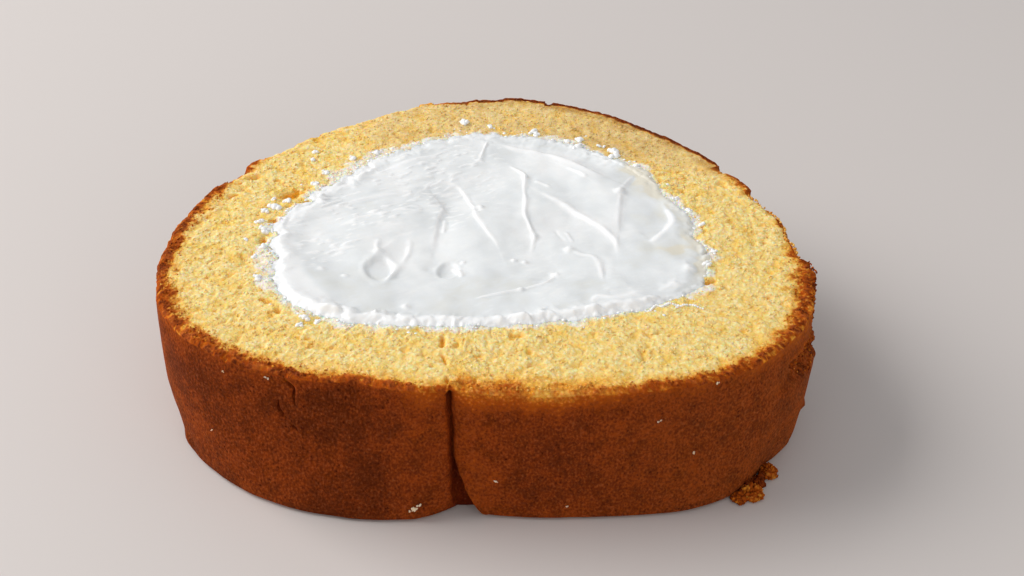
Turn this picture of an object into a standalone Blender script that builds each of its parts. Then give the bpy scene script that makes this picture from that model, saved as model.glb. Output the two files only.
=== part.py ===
"""A slice of cream-filled roll cake, lying on one of its two cut faces.

Metres, +Z up. The origin is the middle of the slice's footprint, on the surface it lies on.
+X runs along the slice's width. -Y is the roll's flat underside, where the two ends of the
sponge sheet meet in a seam, and +Y is the domed top of the roll.
"""

from math import cos, exp, hypot, pi, radians, sin
from typing import NamedTuple

import bmesh
import bpy

MM = 0.001


class Outline(NamedTuple):
    """A closed curve of four quarter superellipses about one centre, in millimetres."""

    x: float
    y: float
    left: float
    right: float
    front: float
    back: float
    front_left: float  # exponents: 2 is an ellipse, more is squarer, less is more pointed
    front_right: float
    back_left: float
    back_right: float


# Driving dimensions, in millimetres
SLICE_THICKNESS = 22.0
CUT_EDGE = Outline(1.9, -11.5, 48.6, 44.1, 27.5, 51.0, 2.5, 2.45, 1.96, 1.8)
BASE_EDGE = Outline(1.9, -11.5, 47.3, 42.8, 28.4, 50.0, 2.8, 2.6, 1.96, 1.8)
FILLING_EDGE = Outline(-6.4, -10.7, 26.6, 37.9, 15.3, 38.6, 2.8, 1.9, 1.8, 2.3)
FILLING_GAP = 0.3
CREAM_DROP = 0.4  # the cream's level below the top of the slice

SKIN_SWELLS = ((0, 1.5), (90, 0.8), (150, 1.4), (195, 0.6))  # bearing in degrees, amount
CUT_ROUND = 0.45
BASE_ROUND = 0.6
FACE_WAVE = 0.25

# The seam in the roll's flat side, and the lifted lower corner of its right-hand flap
SEAM_X = -4.1
SEAM_DEPTH = 1.7
SEAM_HALF_WIDTH = 0.6
FLAP_ROUND = 0.45
FLAP_ROUND_WIDTH = 2.2
CORNER_WIDTH = 5.0
CORNER_HEIGHT = 8.5
CORNER_DEPTH = 2.0
CORNER_ROUND = 1.6

# The torn skin on the right-hand side: above the tear the wall stands back
TEAR_BEARING = -14.0
TEAR_SPAN = 15.0
TEAR_DEPTH = 0.9
TEAR_HEIGHT = 14.0

# How finely the curves are divided
SPONGE_STEP = 3.0  # degrees of bearing
SEAM_STEP = 0.55  # millimetres along the flat side near the seam
SEAM_REACH = 6.5  # millimetres each side of the seam
CREAM_STEP = 4.0  # degrees of bearing
CREAM_RINGS = 18

# Marks that the palette knife left in the cream: points along the crest, height, half width
KNIFE_MARKS = (
    (((2.2, 25.0), (1.4, 22.2), (0.7, 19.2)), 0.5, 0.9),
    (((-10.7, 6.4), (-7.2, 10.5), (-4.9, 12.9), (-3.2, 12.5)), 0.5, 0.9),
    (((-3.2, 12.5), (-1.2, 9.0), (1.5, 0.4), (3.8, -5.3), (4.2, -9.1)), 0.7, 1.0),
    (((6.1, 17.3), (7.5, 15.0), (8.1, 5.3), (9.0, -2.2), (8.1, -8.7)), 0.7, 1.0),
    (((3.1, 24.0), (12.5, 20.2), (21.2, 13.4)), 0.5, 1.2),
    (((9.7, 10.7), (16.7, 3.1), (21.1, -4.2)), 0.6, 1.1),
    (((22.1, 16.2), (19.7, 10.6), (18.5, 2.1)), 0.6, 1.1),
    (((25.6, 10.9), (26.5, 1.5), (22.1, -4.5)), 0.7, 1.1),
    (((11.4, -6.2), (15.1, -9.0), (15.8, -15.6)), 0.6, 1.0),
    (((9.3, -11.7), (8.6, -13.8), (4.4, -15.9), (-1.3, -17.7)), 0.7, 1.0),
    (((-12.2, -4.8), (-12.4, -8.4), (-15.1, -15.0)), 0.6, 1.0),
)
HOLLOWS = (  # x, y, radius, depth
    (-16.5, -11.6, 1.9, 0.9),
    (-14.5, -7.0, 1.9, 0.5),
    (-5.4, -11.6, 1.5, 0.6),
    (-5.6, 1.5, 1.4, 0.4),
)
LIP_HEIGHT = 0.5
LIP_LUMPS = 11


def clear_scene():
    for thing in list(bpy.data.objects):
        bpy.data.objects.remove(thing, do_unlink=True)


def edge_radius(outline, bearing):
    """Distance from the outline's centre to its curve at a bearing in radians."""
    east, north = cos(bearing), sin(bearing)
    reach_x = outline.right if east >= 0 else outline.left
    reach_y = outline.back if north >= 0 else outline.front
    if north >= 0:
        power = outline.back_right if east >= 0 else outline.back_left
    else:
        power = outline.front_right if east >= 0 else outline.front_left
    return (abs(east / reach_x) ** power + abs(north / reach_y) ** power) ** (-1 / power)


def edge_point(outline, bearing, out=0.0):
    """Point on the outline at a bearing, moved outward by out."""
    radius = edge_radius(outline, bearing) + out
    return outline.x + radius * cos(bearing), outline.y + radius * sin(bearing)


def blend(low, high, share):
    return low + (high - low) * share


def smooth_step(value):
    value = min(1.0, max(0.0, value))
    return value * value * (3 - 2 * value)


def sponge_bearings():
    """Even steps round the roll, and finer ones beside the seam."""
    even = [radians(SPONGE_STEP) * k for k in range(round(360 / SPONGE_STEP))]
    count = round(SEAM_REACH / SEAM_STEP)
    fine = []
    for k in range(-count, count + 1):
        across = SEAM_X + k * SEAM_STEP - CUT_EDGE.x
        fine.append(1.5 * pi + across / CUT_EDGE.front)
    kept = [b for b in even if not fine[0] - 0.02 < b < fine[-1] + 0.02]
    return sorted(kept + fine)


def wall_bulge(bearing, height):
    """How far the baked skin swells out between the two cut faces."""
    swell = 0.0
    for middle, amount in SKIN_SWELLS:
        swell += amount * max(0.0, cos(bearing - radians(middle))) ** 8
    return swell * sin(pi * height / SLICE_THICKNESS)


def tear_depth(bearing, height):
    """The step left where a strip of skin was pulled off above the tear."""
    degrees = (bearing * 180 / pi + 180) % 360 - 180
    along = exp(-(((degrees - TEAR_BEARING) / TEAR_SPAN) ** 4))
    return TEAR_DEPTH * along * smooth_step((height - TEAR_HEIGHT) / 1.0)


def seam_depth(x, height):
    """Depth of the seam's groove and of the lifted corner beside it, in the flat side."""
    across = x - SEAM_X
    depth = SEAM_DEPTH * exp(-((across / SEAM_HALF_WIDTH) ** 2))
    depth += FLAP_ROUND * exp(-((across / FLAP_ROUND_WIDTH) ** 2))
    width = CORNER_WIDTH * max(0.0, 1 - height / CORNER_HEIGHT) ** 1.5
    if 0 < across < width:
        depth = max(depth, CORNER_DEPTH * smooth_step((width - across) / CORNER_ROUND))
    return depth


def wall_point(bearing, height, inset=0.0, seamed=True):
    """Point on the baked skin, with or without the seam's groove."""
    share = height / SLICE_THICKNESS
    out = wall_bulge(bearing, height) - tear_depth(bearing, height) - inset
    base_x, base_y = edge_point(BASE_EDGE, bearing, out)
    cut_x, cut_y = edge_point(CUT_EDGE, bearing, out)
    x, y = blend(base_x, cut_x, share), blend(base_y, cut_y, share)
    if seamed and y < CUT_EDGE.y:
        y += seam_depth(x, height)
    return x, y, height


def face_point(bearing, share):
    """Point on the upper cut face, from the filling's edge (share 0) to the skin (share 1)."""
    inner_x, inner_y = edge_point(FILLING_EDGE, bearing)
    outer_x, outer_y, _ = wall_point(bearing, SLICE_THICKNESS, CUT_ROUND, share == 1.0)
    x, y = blend(inner_x, outer_x, share), blend(inner_y, outer_y, share)
    wave = sin(0.16 * x + 1.0) * cos(0.19 * y) + 0.5 * sin(0.31 * x - 0.27 * y)
    return x, y, SLICE_THICKNESS - FACE_WAVE + FACE_WAVE * wave * sin(pi * share)


def sponge_rings():
    """Closed rings of points, from the foot of the filling's hole, out, up, over and back in."""
    bearings = sponge_bearings()
    rings = []
    rings.append([(*edge_point(FILLING_EDGE, b), 0.0) for b in bearings])
    rings.append([wall_point(b, 0.0, BASE_ROUND) for b in bearings])
    skin_heights = (1.0, 3.5, 6.5, 9.5, 12.5, 14.0, 15.0, 18.0, 20.5)
    for height in skin_heights:
        rings.append([wall_point(b, height) for b in bearings])
    rings.append([wall_point(b, SLICE_THICKNESS - FACE_WAVE - 0.3, 0.2) for b in bearings])
    for share in (1.0, 0.8, 0.55, 0.3, 0.0):
        rings.append([face_point(b, share) for b in bearings])
    return rings


def nearest_on_line(x, y, line):
    """Distance from a point to a line of points."""
    best = 1e9
    for (ax, ay), (bx, by) in zip(line, line[1:]):
        dx, dy = bx - ax, by - ay
        along = ((x - ax) * dx + (y - ay) * dy) / (dx * dx + dy * dy)
        along = min(1.0, max(0.0, along))
        best = min(best, hypot(x - ax - along * dx, y - ay - along * dy))
    return best


def cream_relief(x, y):
    """Height of the knife's ridges and hollows above the cream's level."""
    ridge = 0.0
    for line, height, half_width in KNIFE_MARKS:
        ridge = max(ridge, height * exp(-((nearest_on_line(x, y, line) / half_width) ** 2)))
    hollow = 0.0
    for centre_x, centre_y, radius, depth in HOLLOWS:
        hollow += depth * exp(-((hypot(x - centre_x, y - centre_y) / radius) ** 2))
    return ridge - hollow


def cream_rings():
    """Rings from the underside's middle, out, up the side and in to the middle of the top."""
    bearings = [radians(CREAM_STEP) * k for k in range(round(360 / CREAM_STEP))]
    level = SLICE_THICKNESS - CREAM_DROP

    def ring(share, height):
        """One ring, share of the way from the filling's centre to its edge."""
        points = []
        for bearing in bearings:
            edge_x, edge_y = edge_point(FILLING_EDGE, bearing, -FILLING_GAP)
            x = blend(FILLING_EDGE.x, edge_x, share)
            y = blend(FILLING_EDGE.y, edge_y, share)
            points.append((x, y, height))
        return points

    rings = [ring(share, 0.0) for share in (0.08, 0.55, 1.0)]
    rings += [ring(1.0, height) for height in (SLICE_THICKNESS / 2, level - 0.2)]
    for k in range(CREAM_RINGS):
        share = 0.985 - k * (0.985 - 0.06) / (CREAM_RINGS - 1)
        points = []
        for number, (x, y, _) in enumerate(ring(share, level)):
            lump = 0.6 + 0.4 * sin(LIP_LUMPS * bearings[number] + 1.3)
            lip = LIP_HEIGHT * lump * exp(-(((share - 0.95) / 0.05) ** 2))
            inner = min(1.0, (1 - share) / 0.1)
            points.append((x, y, level + lip + inner * cream_relief(x, y)))
        rings.append(points)
    return rings


def add_ring(mesh, points):
    return [mesh.verts.new((x * MM, y * MM, z * MM)) for x, y, z in points]


def join_rings(mesh, lower, upper):
    """A band of quads between two rings of the same number of points."""
    count = len(lower)
    for k in range(count):
        after = (k + 1) % count
        mesh.faces.new((lower[k], lower[after], upper[after], upper[k]))


def finish_mesh(mesh, name, material):
    """Faces out, split into triangles, shaded smooth but for the sharp edges."""
    bmesh.ops.recalc_face_normals(mesh, faces=mesh.faces)
    bmesh.ops.triangulate(mesh, faces=mesh.faces)
    data = bpy.data.meshes.new(name)
    mesh.to_mesh(data)
    mesh.free()
    data.shade_smooth()
    data.set_sharp_from_angle(angle=radians(50))
    data.materials.append(material)
    thing = bpy.data.objects.new(name, data)
    bpy.context.scene.collection.objects.link(thing)
    return thing


def plain_material(name, colour, roughness):
    material = bpy.data.materials.new(name)
    material.use_nodes = True
    shader = material.node_tree.nodes["Principled BSDF"]
    shader.inputs["Base Color"].default_value = (*colour, 1.0)
    shader.inputs["Roughness"].default_value = roughness
    shader.inputs["Metallic"].default_value = 0.0
    return material


def make_sponge():
    """The rolled sponge: a ring round the filling, with its skin on the outside."""
    mesh = bmesh.new()
    rings = [add_ring(mesh, points) for points in sponge_rings()]
    for lower, upper in zip(rings, rings[1:] + rings[:1]):
        join_rings(mesh, lower, upper)
    return finish_mesh(mesh, "sponge", plain_material("sponge", (0.84, 0.60, 0.24), 0.85))


def make_cream():
    """The cream filling, which runs through the slice from one cut face to the other."""
    mesh = bmesh.new()
    rings = [add_ring(mesh, points) for points in cream_rings()]
    for lower, upper in zip(rings, rings[1:]):
        join_rings(mesh, lower, upper)
    mesh.faces.new(rings[0])
    mesh.faces.new(rings[-1])
    return finish_mesh(mesh, "cream", plain_material("cream", (0.90, 0.90, 0.88), 0.35))


def main():
    clear_scene()
    make_sponge()
    make_cream()


main()
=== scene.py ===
"""The looks of a slice of cream-filled roll cake: cut crumb, baked skin, spread cream and crumbs.

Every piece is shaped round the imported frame. Sizes are in millimetres until a mesh is written.
The slice lies on one cut face: +Z is up, -Y is the roll's flat side with the seam, and +X is
the slice's right-hand end.
"""

from math import cos, pi, radians, sin, tau

import bmesh
import bpy
import numpy as np
from mathutils import Matrix, Vector
from mathutils.bvhtree import BVHTree


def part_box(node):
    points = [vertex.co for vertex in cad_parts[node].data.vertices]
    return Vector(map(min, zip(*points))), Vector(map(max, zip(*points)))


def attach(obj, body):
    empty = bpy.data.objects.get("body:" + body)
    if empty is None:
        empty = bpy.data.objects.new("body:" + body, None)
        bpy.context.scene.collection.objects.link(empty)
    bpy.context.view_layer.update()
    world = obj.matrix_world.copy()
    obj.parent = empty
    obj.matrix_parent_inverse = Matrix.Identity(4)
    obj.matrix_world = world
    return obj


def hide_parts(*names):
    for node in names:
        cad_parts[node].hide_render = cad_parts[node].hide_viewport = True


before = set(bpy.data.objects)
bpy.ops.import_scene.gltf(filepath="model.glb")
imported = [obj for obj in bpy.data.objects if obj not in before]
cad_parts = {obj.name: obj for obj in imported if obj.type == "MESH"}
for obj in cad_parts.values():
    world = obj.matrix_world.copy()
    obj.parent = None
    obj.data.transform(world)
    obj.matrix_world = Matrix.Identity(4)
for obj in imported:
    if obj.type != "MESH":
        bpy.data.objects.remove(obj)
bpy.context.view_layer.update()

MM = 0.001
BODY = "root"

# ---------------------------------------------------------------- places read from the frame

SPONGE_LOW, SPONGE_HIGH = (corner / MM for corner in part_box("sponge"))
CREAM_LOW, CREAM_HIGH = (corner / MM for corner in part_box("cream"))
TOP = SPONGE_HIGH.z - 0.1  # level of the upper cut face
CENTRE = ((CREAM_LOW.x + CREAM_HIGH.x) / 2, (CREAM_LOW.y + CREAM_HIGH.y) / 2)
ROLL_CENTRE = (1.9, -11.5)  # the skin's bearings are counted round this point
ARC_RADIUS = 42.0  # turns a bearing into millimetres along the wall, for the random fields

# The seam in the flat side, and the lifted lower corner of its right-hand flap
SEAM_X = -4.25
SEAM_LEAN = -0.035  # sideways run for each millimetre up
SEAM_DEPTH = 1.6
SEAM_WINDOW = 7.0  # the seam's marks lie within this distance of it
FRONT = -28.0  # the flat side lies in front of this y
CORNER_WIDTH = 3.7
CORNER_HEIGHT = 10.8
CORNER_DEPTH = 3.3
CORNER_ROUND = 0.9

SKIN_THICKNESS = 0.95
TORN_DEPTH = 0.42  # how far the torn stretch lies below the skin

# The torn skin of the right-hand end: its upper and lower limits, by bearing from -180 to 180
TORN_TOP = ((-22, 18.3), (-16.6, 17.7), (-12.5, 17.9), (-10.5, 20.5), (-9, 23.0))
TORN_FOOT = ((-22, 16.2), (-20, 14.8), (-16, 13.2), (-12, 12.2), (0, 11.5))
# The holes torn in it: bearing, height, radius, depth
TORN_HOLES = (
    (-19.6, 17.2, 0.6, 0.9), (-16.2, 15.3, 0.65, 0.9), (-17.4, 14.6, 0.5, 0.7), (-20.6, 15.4, 0.4, 0.6),
    (-9.2, 14.5, 1.0, 0.6),
)
# Small nubs and nicks in the skin: bearing, height, how far it stands out, half height, half
# length along the wall, and its fall for each millimetre along the wall
NUBS = (
    (198.4, 1.7, 0.5, 1.3, 1.3, 0), (196.5, 5.6, -0.3, 0.8, 0.8, 0), (348.0, 5.9, 0.5, 0.5, 0.9, 0),
    (353.0, 13.6, -0.4, 0.5, 4.0, 0.72), (353.0, 12.1, 0.25, 0.7, 3.0, 0.72),
)

# Width of the browned band on the cut face, by bearing round the roll in degrees
BROWN_BAND = (
    (0, 2.5), (5, 2.2), (9, 0.6), (12, 0.1), (16, 0.1), (18, 0.7), (20, 0.1), (30, 0.1), (33, 1.4),
    (37, 1.0), (40, 0.2), (43, 0.9), (80, 0.9), (90, 0.5), (94, 0.15), (141, 0.15), (145, 1.0),
    (148, 0.2), (152, 0.4), (155, 2.0), (163, 2.3), (200, 2.1), (235, 1.3), (250, 0.8), (262, 0.6),
    (300, 1.1), (340, 1.7), (352, 2.5), (360, 2.5),
)
# How much of the skin is missing at the cut edge, by bearing: its depth down the wall
LOST_SKIN = (
    (0, 0.0), (5, 0.2), (8, 1.3), (16, 1.5), (17, 0.3), (20, 0.3), (21.5, 1.6), (30, 1.5), (31.5, 0.1),
    (38, 0.1), (39.5, 1.2), (42, 0.0), (81.4, 0.0), (82.2, 0.5), (83, 0.0), (90, 0.0), (93, 0.6),
    (104, 0.6), (105, 0.1), (107, 0.1), (109, 0.9), (118, 1.2), (126, 0.8), (136, 1.3), (141, 0.8),
    (143.5, 0.1), (146.5, 0.1), (148, 1.3), (152, 1.2), (153.5, 0.1), (158, 0.0), (360, 0.0),
)
# How far the upper edge and the foot stand out from the frame's outline, by bearing
EDGE_OUT = (
    (0, 0.8), (4, 0.6), (8, -0.1), (12, -0.6), (16, 0.0), (19, 0.4), (22, 0.2), (26, 0.0), (30, -0.3),
    (32, 0.6), (36, 0.6), (39, 0.0), (43, 0.6), (50, 0.2), (95, 0.3), (102, 0.7), (108, 0.8), (112, 0.3),
    (118, 0.0), (140, 0.0), (144, 0.4), (148, 0.1), (151, -0.2), (155, 0.9), (162, 0.8), (180, 0.8),
    (186, 0.2), (228, -0.3), (234, -1.0), (240, -0.4), (250, 0.0), (340, 0.0), (352, 0.5), (360, 0.8),
)
FOOT_OUT = (
    (0, 0.0), (198, -0.3), (207, 0.0), (216, 0.9), (225, 1.3), (234, 1.4), (241, 1.0), (246, 0.6),
    (250, 0.2), (256, 0.1), (266, 0.1), (278, -0.2), (290, -0.5), (298, -0.2), (304, 0.1), (309, 0.4),
    (316, 0.8), (322, 0.8), (326, 0.6), (330, 0.0), (333, -0.5), (337, -0.8), (340, -0.4), (344, 0.2),
    (350, 0.0), (360, 0.0),
)
# How far the cream's visible edge lies outside the filling's outline, by bearing round CENTRE
CREAM_OUT = (
    (0, 0.4), (10, -0.6), (21, -0.2), (31, 1.2), (42, 0.5), (60, 0.3), (94, 0.0), (106, -1.5),
    (118, -2.0), (129, -2.4), (140, -1.9), (149, -2.6), (161, -1.4), (173, -1.7), (178, 0.0),
    (184, 0.9), (195, -0.4), (206, -2.1), (214, -1.7), (222, -0.9), (235, -0.4), (266, -0.1),
    (295, -0.5), (308, -0.2), (324, 0.0), (329, 0.6), (334, -0.2), (340, -0.3), (345, 0.8),
    (352, -0.4), (360, 0.4),
)


def look_up(table, degrees):
    """Reads a table of bearings and values."""
    table = np.array(table, float)
    return np.interp(degrees, table[:, 0], table[:, 1])


# ---------------------------------------------------------------- random fields

RANDOM_TILE = np.random.default_rng(11).random((6, 256, 256))


def cell_value(i, j, layer, seed=0):
    """The random number that belongs to each cell of a square net."""
    return RANDOM_TILE[layer, (i + 37 * seed) & 255, (j + 91 * seed) & 255]


def ease(value):
    """A smooth step from 0 to 1."""
    value = np.clip(value, 0.0, 1.0)
    return value * value * (3 - 2 * value)


def between(value, low, high, rise, fall):
    """0 outside low and high, easing up to 1 over the first rise and down over the last fall."""
    return ease((value - low) / rise) * ease((high - value) / fall)


def swells(x, y, size, seed=0):
    """Soft random heights from -1 to 1, one swell to every size millimetres."""
    turned_x = (0.8 * x + 0.6 * y) / size
    turned_y = (0.8 * y - 0.6 * x) / size
    i = np.floor(turned_x).astype(int)
    j = np.floor(turned_y).astype(int)
    u = ease(turned_x - i)
    v = ease(turned_y - j)
    near = cell_value(i, j, 0, seed) * (1 - u) + cell_value(i + 1, j, 0, seed) * u
    far = cell_value(i, j + 1, 0, seed) * (1 - u) + cell_value(i + 1, j + 1, 0, seed) * u
    return 2 * (near * (1 - v) + far * v) - 1


def grains(x, y, size, seed=0):
    """Distance to the nearest grain's middle, in grain sizes, and that grain's random number."""
    x = x / size
    y = y / size
    i = np.floor(x).astype(int)
    j = np.floor(y).astype(int)
    nearest = np.full(np.shape(x), 9.0)
    number = np.zeros(np.shape(x))
    for step_i in (-1, 0, 1):
        for step_j in (-1, 0, 1):
            cell_i = i + step_i
            cell_j = j + step_j
            middle_x = cell_i + cell_value(cell_i, cell_j, 1, seed)
            middle_y = cell_j + cell_value(cell_i, cell_j, 2, seed)
            away = np.hypot(x - middle_x, y - middle_y)
            closer = away < nearest
            nearest = np.where(closer, away, nearest)
            number = np.where(closer, cell_value(cell_i, cell_j, 3, seed), number)
    return nearest, number


def ripples(x, y, *layers):
    """Swells of several sizes, added up. Each layer is an amount, a size and a seed."""
    return sum(amount * swells(x, y, size, seed) for amount, size, seed in layers)


def ripples_along(arc, *layers):
    """Ripples that change only along the wall."""
    return ripples(arc, 0 * arc, *layers)


# ---------------------------------------------------------------- shapes drawn on the slice


def bell(value, power=2.0):
    """1 at 0, falling smoothly towards 0 past 1 and -1."""
    return np.exp(-(np.abs(value) ** power))


def dome(away, reach):
    """The round top of a grain: 1 in its middle and 0 from its reach outwards."""
    return np.sqrt(np.clip(1 - (away / reach) ** 2, 0, 1))


def oval_distance(x, y, middle_x, middle_y, length, width, turn):
    """Distance from the middle of a turned oval: 1 on its outline."""
    along = (x - middle_x) * cos(radians(turn)) + (y - middle_y) * sin(radians(turn))
    across = (y - middle_y) * cos(radians(turn)) - (x - middle_x) * sin(radians(turn))
    return np.hypot(along / (length / 2), across / (width / 2))


def in_oval(x, y, *oval):
    """1 in the middle of a turned oval, falling smoothly to 0 outside it."""
    return bell(oval_distance(x, y, *oval), 2.5)


def curve_through(points, steps=10):
    """A smooth line through a few points, as an array."""
    points = np.array(points, float)
    if len(points) < 3:
        share = np.linspace(0, 1, steps)[:, None]
        return points[0] * (1 - share) + points[-1] * share
    padded = np.vstack([2 * points[0] - points[1], points, 2 * points[-1] - points[-2]])
    share = np.linspace(0, 1, steps, endpoint=False)[:, None]
    runs = []
    for a, b, c, d in zip(padded, padded[1:], padded[2:], padded[3:]):
        runs.append(
            0.5 * (2 * b + (c - a) * share + (2 * a - 5 * b + 4 * c - d) * share**2
                   + (3 * b - a - 3 * c + d) * share**3)
        )
    return np.vstack(runs + [points[-1:]])


def beside_line(x, y, points):
    """Distance to a smooth line (positive on its left) and the share of the way along it."""
    line = curve_through(points)
    best = np.full(x.shape, 1e9)
    side = np.ones(x.shape)
    share = np.zeros(x.shape)
    for k in range(len(line) - 1):
        start_x, start_y = line[k]
        run_x, run_y = line[k + 1] - line[k]
        length = run_x * run_x + run_y * run_y
        along = np.clip(((x - start_x) * run_x + (y - start_y) * run_y) / length, 0, 1)
        off_x = x - start_x - along * run_x
        off_y = y - start_y - along * run_y
        away = np.hypot(off_x, off_y)
        closer = away < best
        best = np.where(closer, away, best)
        side = np.where(closer, np.sign(run_x * off_y - run_y * off_x), side)
        share = np.where(closer, (k + along) / (len(line) - 1), share)
    return best * np.where(side == 0, 1, side), share


# ---------------------------------------------------------------- the frame's outlines


def cad_tree(node):
    """A CAD node's surface, for measuring with rays."""
    return BVHTree.FromObject(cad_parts[node], bpy.context.evaluated_depsgraph_get())


class RadiusTable:
    """Radii measured on a CAD node round CENTRE, by bearing and height."""

    STEP = radians(0.5)

    def __init__(self, node, heights, outward=False):
        tree = cad_tree(node)
        self.heights = np.array(heights, float)
        self.bearings = np.arange(0, tau, self.STEP)
        self.radii = np.zeros((len(heights), len(self.bearings)))
        for row, height in enumerate(heights):
            for column, bearing in enumerate(self.bearings):
                away = Vector((cos(bearing), sin(bearing), 0))
                middle = Vector((*CENTRE, height)) * MM
                if outward:
                    hit = tree.ray_cast(middle, away)[0]
                else:
                    hit = tree.ray_cast(middle + away * 80 * MM, -away)[0]
                self.radii[row, column] = (hit - middle).length / MM

    def bridge(self, low, high):
        """Runs straight across the bearings from low to high, in every row."""
        inside = (self.bearings > low) & (self.bearings < high)
        for row in self.radii:
            row[inside] = np.interp(self.bearings[inside], self.bearings[~inside], row[~inside])

    def smooth(self, reach=4):
        """Evens out the facets."""
        total = np.zeros_like(self.radii)
        for step in range(-reach, reach + 1):
            total += np.roll(self.radii, step, axis=1)
        self.radii = total / (2 * reach + 1)

    def __call__(self, bearing, height):
        turn = np.mod(bearing, tau) / self.STEP
        column = np.floor(turn).astype(int) % len(self.bearings)
        after = (column + 1) % len(self.bearings)
        across = turn - np.floor(turn)
        place = np.interp(height, self.heights, np.arange(len(self.heights)))
        row = np.clip(np.floor(place).astype(int), 0, max(0, len(self.heights) - 2))
        above = np.minimum(row + 1, len(self.heights) - 1)
        up = np.clip(place - row, 0, 1)
        low = self.radii[row, column] * (1 - across) + self.radii[row, after] * across
        high = self.radii[above, column] * (1 - across) + self.radii[above, after] * across
        return low * (1 - up) + high * up


def bearing_of(x, y, centre=CENTRE):
    """Direction from the centre in radians, from 0 up to a whole turn."""
    return np.mod(np.arctan2(y - centre[1], x - centre[0]), tau)


SKIN = RadiusTable("sponge", np.linspace(0.9, TOP - 1.1, 22))
seam_low, seam_high = (
    float(bearing_of(SEAM_X + side * SEAM_WINDOW, SPONGE_LOW.y + 1)) for side in (-1, 1)
)
SKIN.bridge(seam_low, seam_high)
SKIN.smooth()
HOLE = RadiusTable("sponge", [TOP / 2], outward=True)
HOLE.smooth()
FILLING = RadiusTable("cream", [TOP / 2])
FILLING.smooth()


# ---------------------------------------------------------------- modelling helpers


def deselect_all():
    """Leaves edit mode with nothing selected."""
    if bpy.context.object and bpy.context.object.mode != "OBJECT":
        bpy.ops.object.mode_set(mode="OBJECT")
    bpy.ops.object.select_all(action="DESELECT")


def edit():
    """Goes into edit mode with nothing selected."""
    bpy.ops.object.mode_set(mode="EDIT")
    bpy.ops.mesh.select_all(action="DESELECT")


def done():
    bpy.ops.object.mode_set(mode="OBJECT")


def pick(kind, test):
    """In edit mode, selects just the verts, edges or faces whose middle passes the test."""
    bpy.ops.mesh.select_mode(type={"verts": "VERT", "edges": "EDGE", "faces": "FACE"}[kind])
    bpy.ops.mesh.select_all(action="DESELECT")
    mesh = bmesh.from_edit_mesh(bpy.context.edit_object.data)
    for part in getattr(mesh, kind):
        corners = [part.co] if kind == "verts" else [v.co for v in part.verts]
        if test(sum(corners, Vector()) / len(corners)):
            part.select_set(True)
    bmesh.update_edit_mesh(bpy.context.edit_object.data)


def points_of(thing):
    """A mesh's points in millimetres, as three arrays."""
    points = np.empty(len(thing.data.vertices) * 3, np.float32)
    thing.data.vertices.foreach_get("co", points)
    return points.reshape(-1, 3).astype(float).T / MM


def put_points(thing, x, y, z):
    """Writes a mesh's points, given in millimetres."""
    points = np.stack([x, y, z], axis=1).astype(np.float32) * MM
    thing.data.vertices.foreach_set("co", points.ravel())
    thing.data.update()


def note(thing, name, values):
    """Writes a number for each point, which the finishes read."""
    layer = thing.data.attributes.get(name) or thing.data.attributes.new(name, "FLOAT", "POINT")
    layer.data.foreach_set("value", np.asarray(values, np.float32))


def smooth(thing):
    """Shades a piece smooth."""
    deselect_all()
    thing.select_set(True)
    bpy.context.view_layer.objects.active = thing
    bpy.ops.object.shade_smooth()


def hand_over(thing, material, replaced=None):
    """Gives a finished piece its material and its body, and hides the CAD node it stands for, if one is
    given.
    """
    thing.data.materials.clear()
    thing.data.materials.append(material)
    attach(thing, BODY)
    if replaced:
        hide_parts(replaced)


# ---------------------------------------------------------------- finishes


def paint(red, green, blue):
    """A colour from everyday 0 to 255 values."""
    channels = [channel / 255 for channel in (red, green, blue)]
    linear = [c / 12.92 if c <= 0.04045 else ((c + 0.055) / 1.055) ** 2.4 for c in channels]
    return (*linear, 1.0)


SOCKETS = {
    "base_color": "Base Color",
    "roughness": "Roughness",
    "normal": "Normal",
    "specular": "Specular IOR Level",
    "subsurface_weight": "Subsurface Weight",
    "subsurface_radius": "Subsurface Radius",
    "subsurface_scale": "Subsurface Scale",
}


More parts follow.
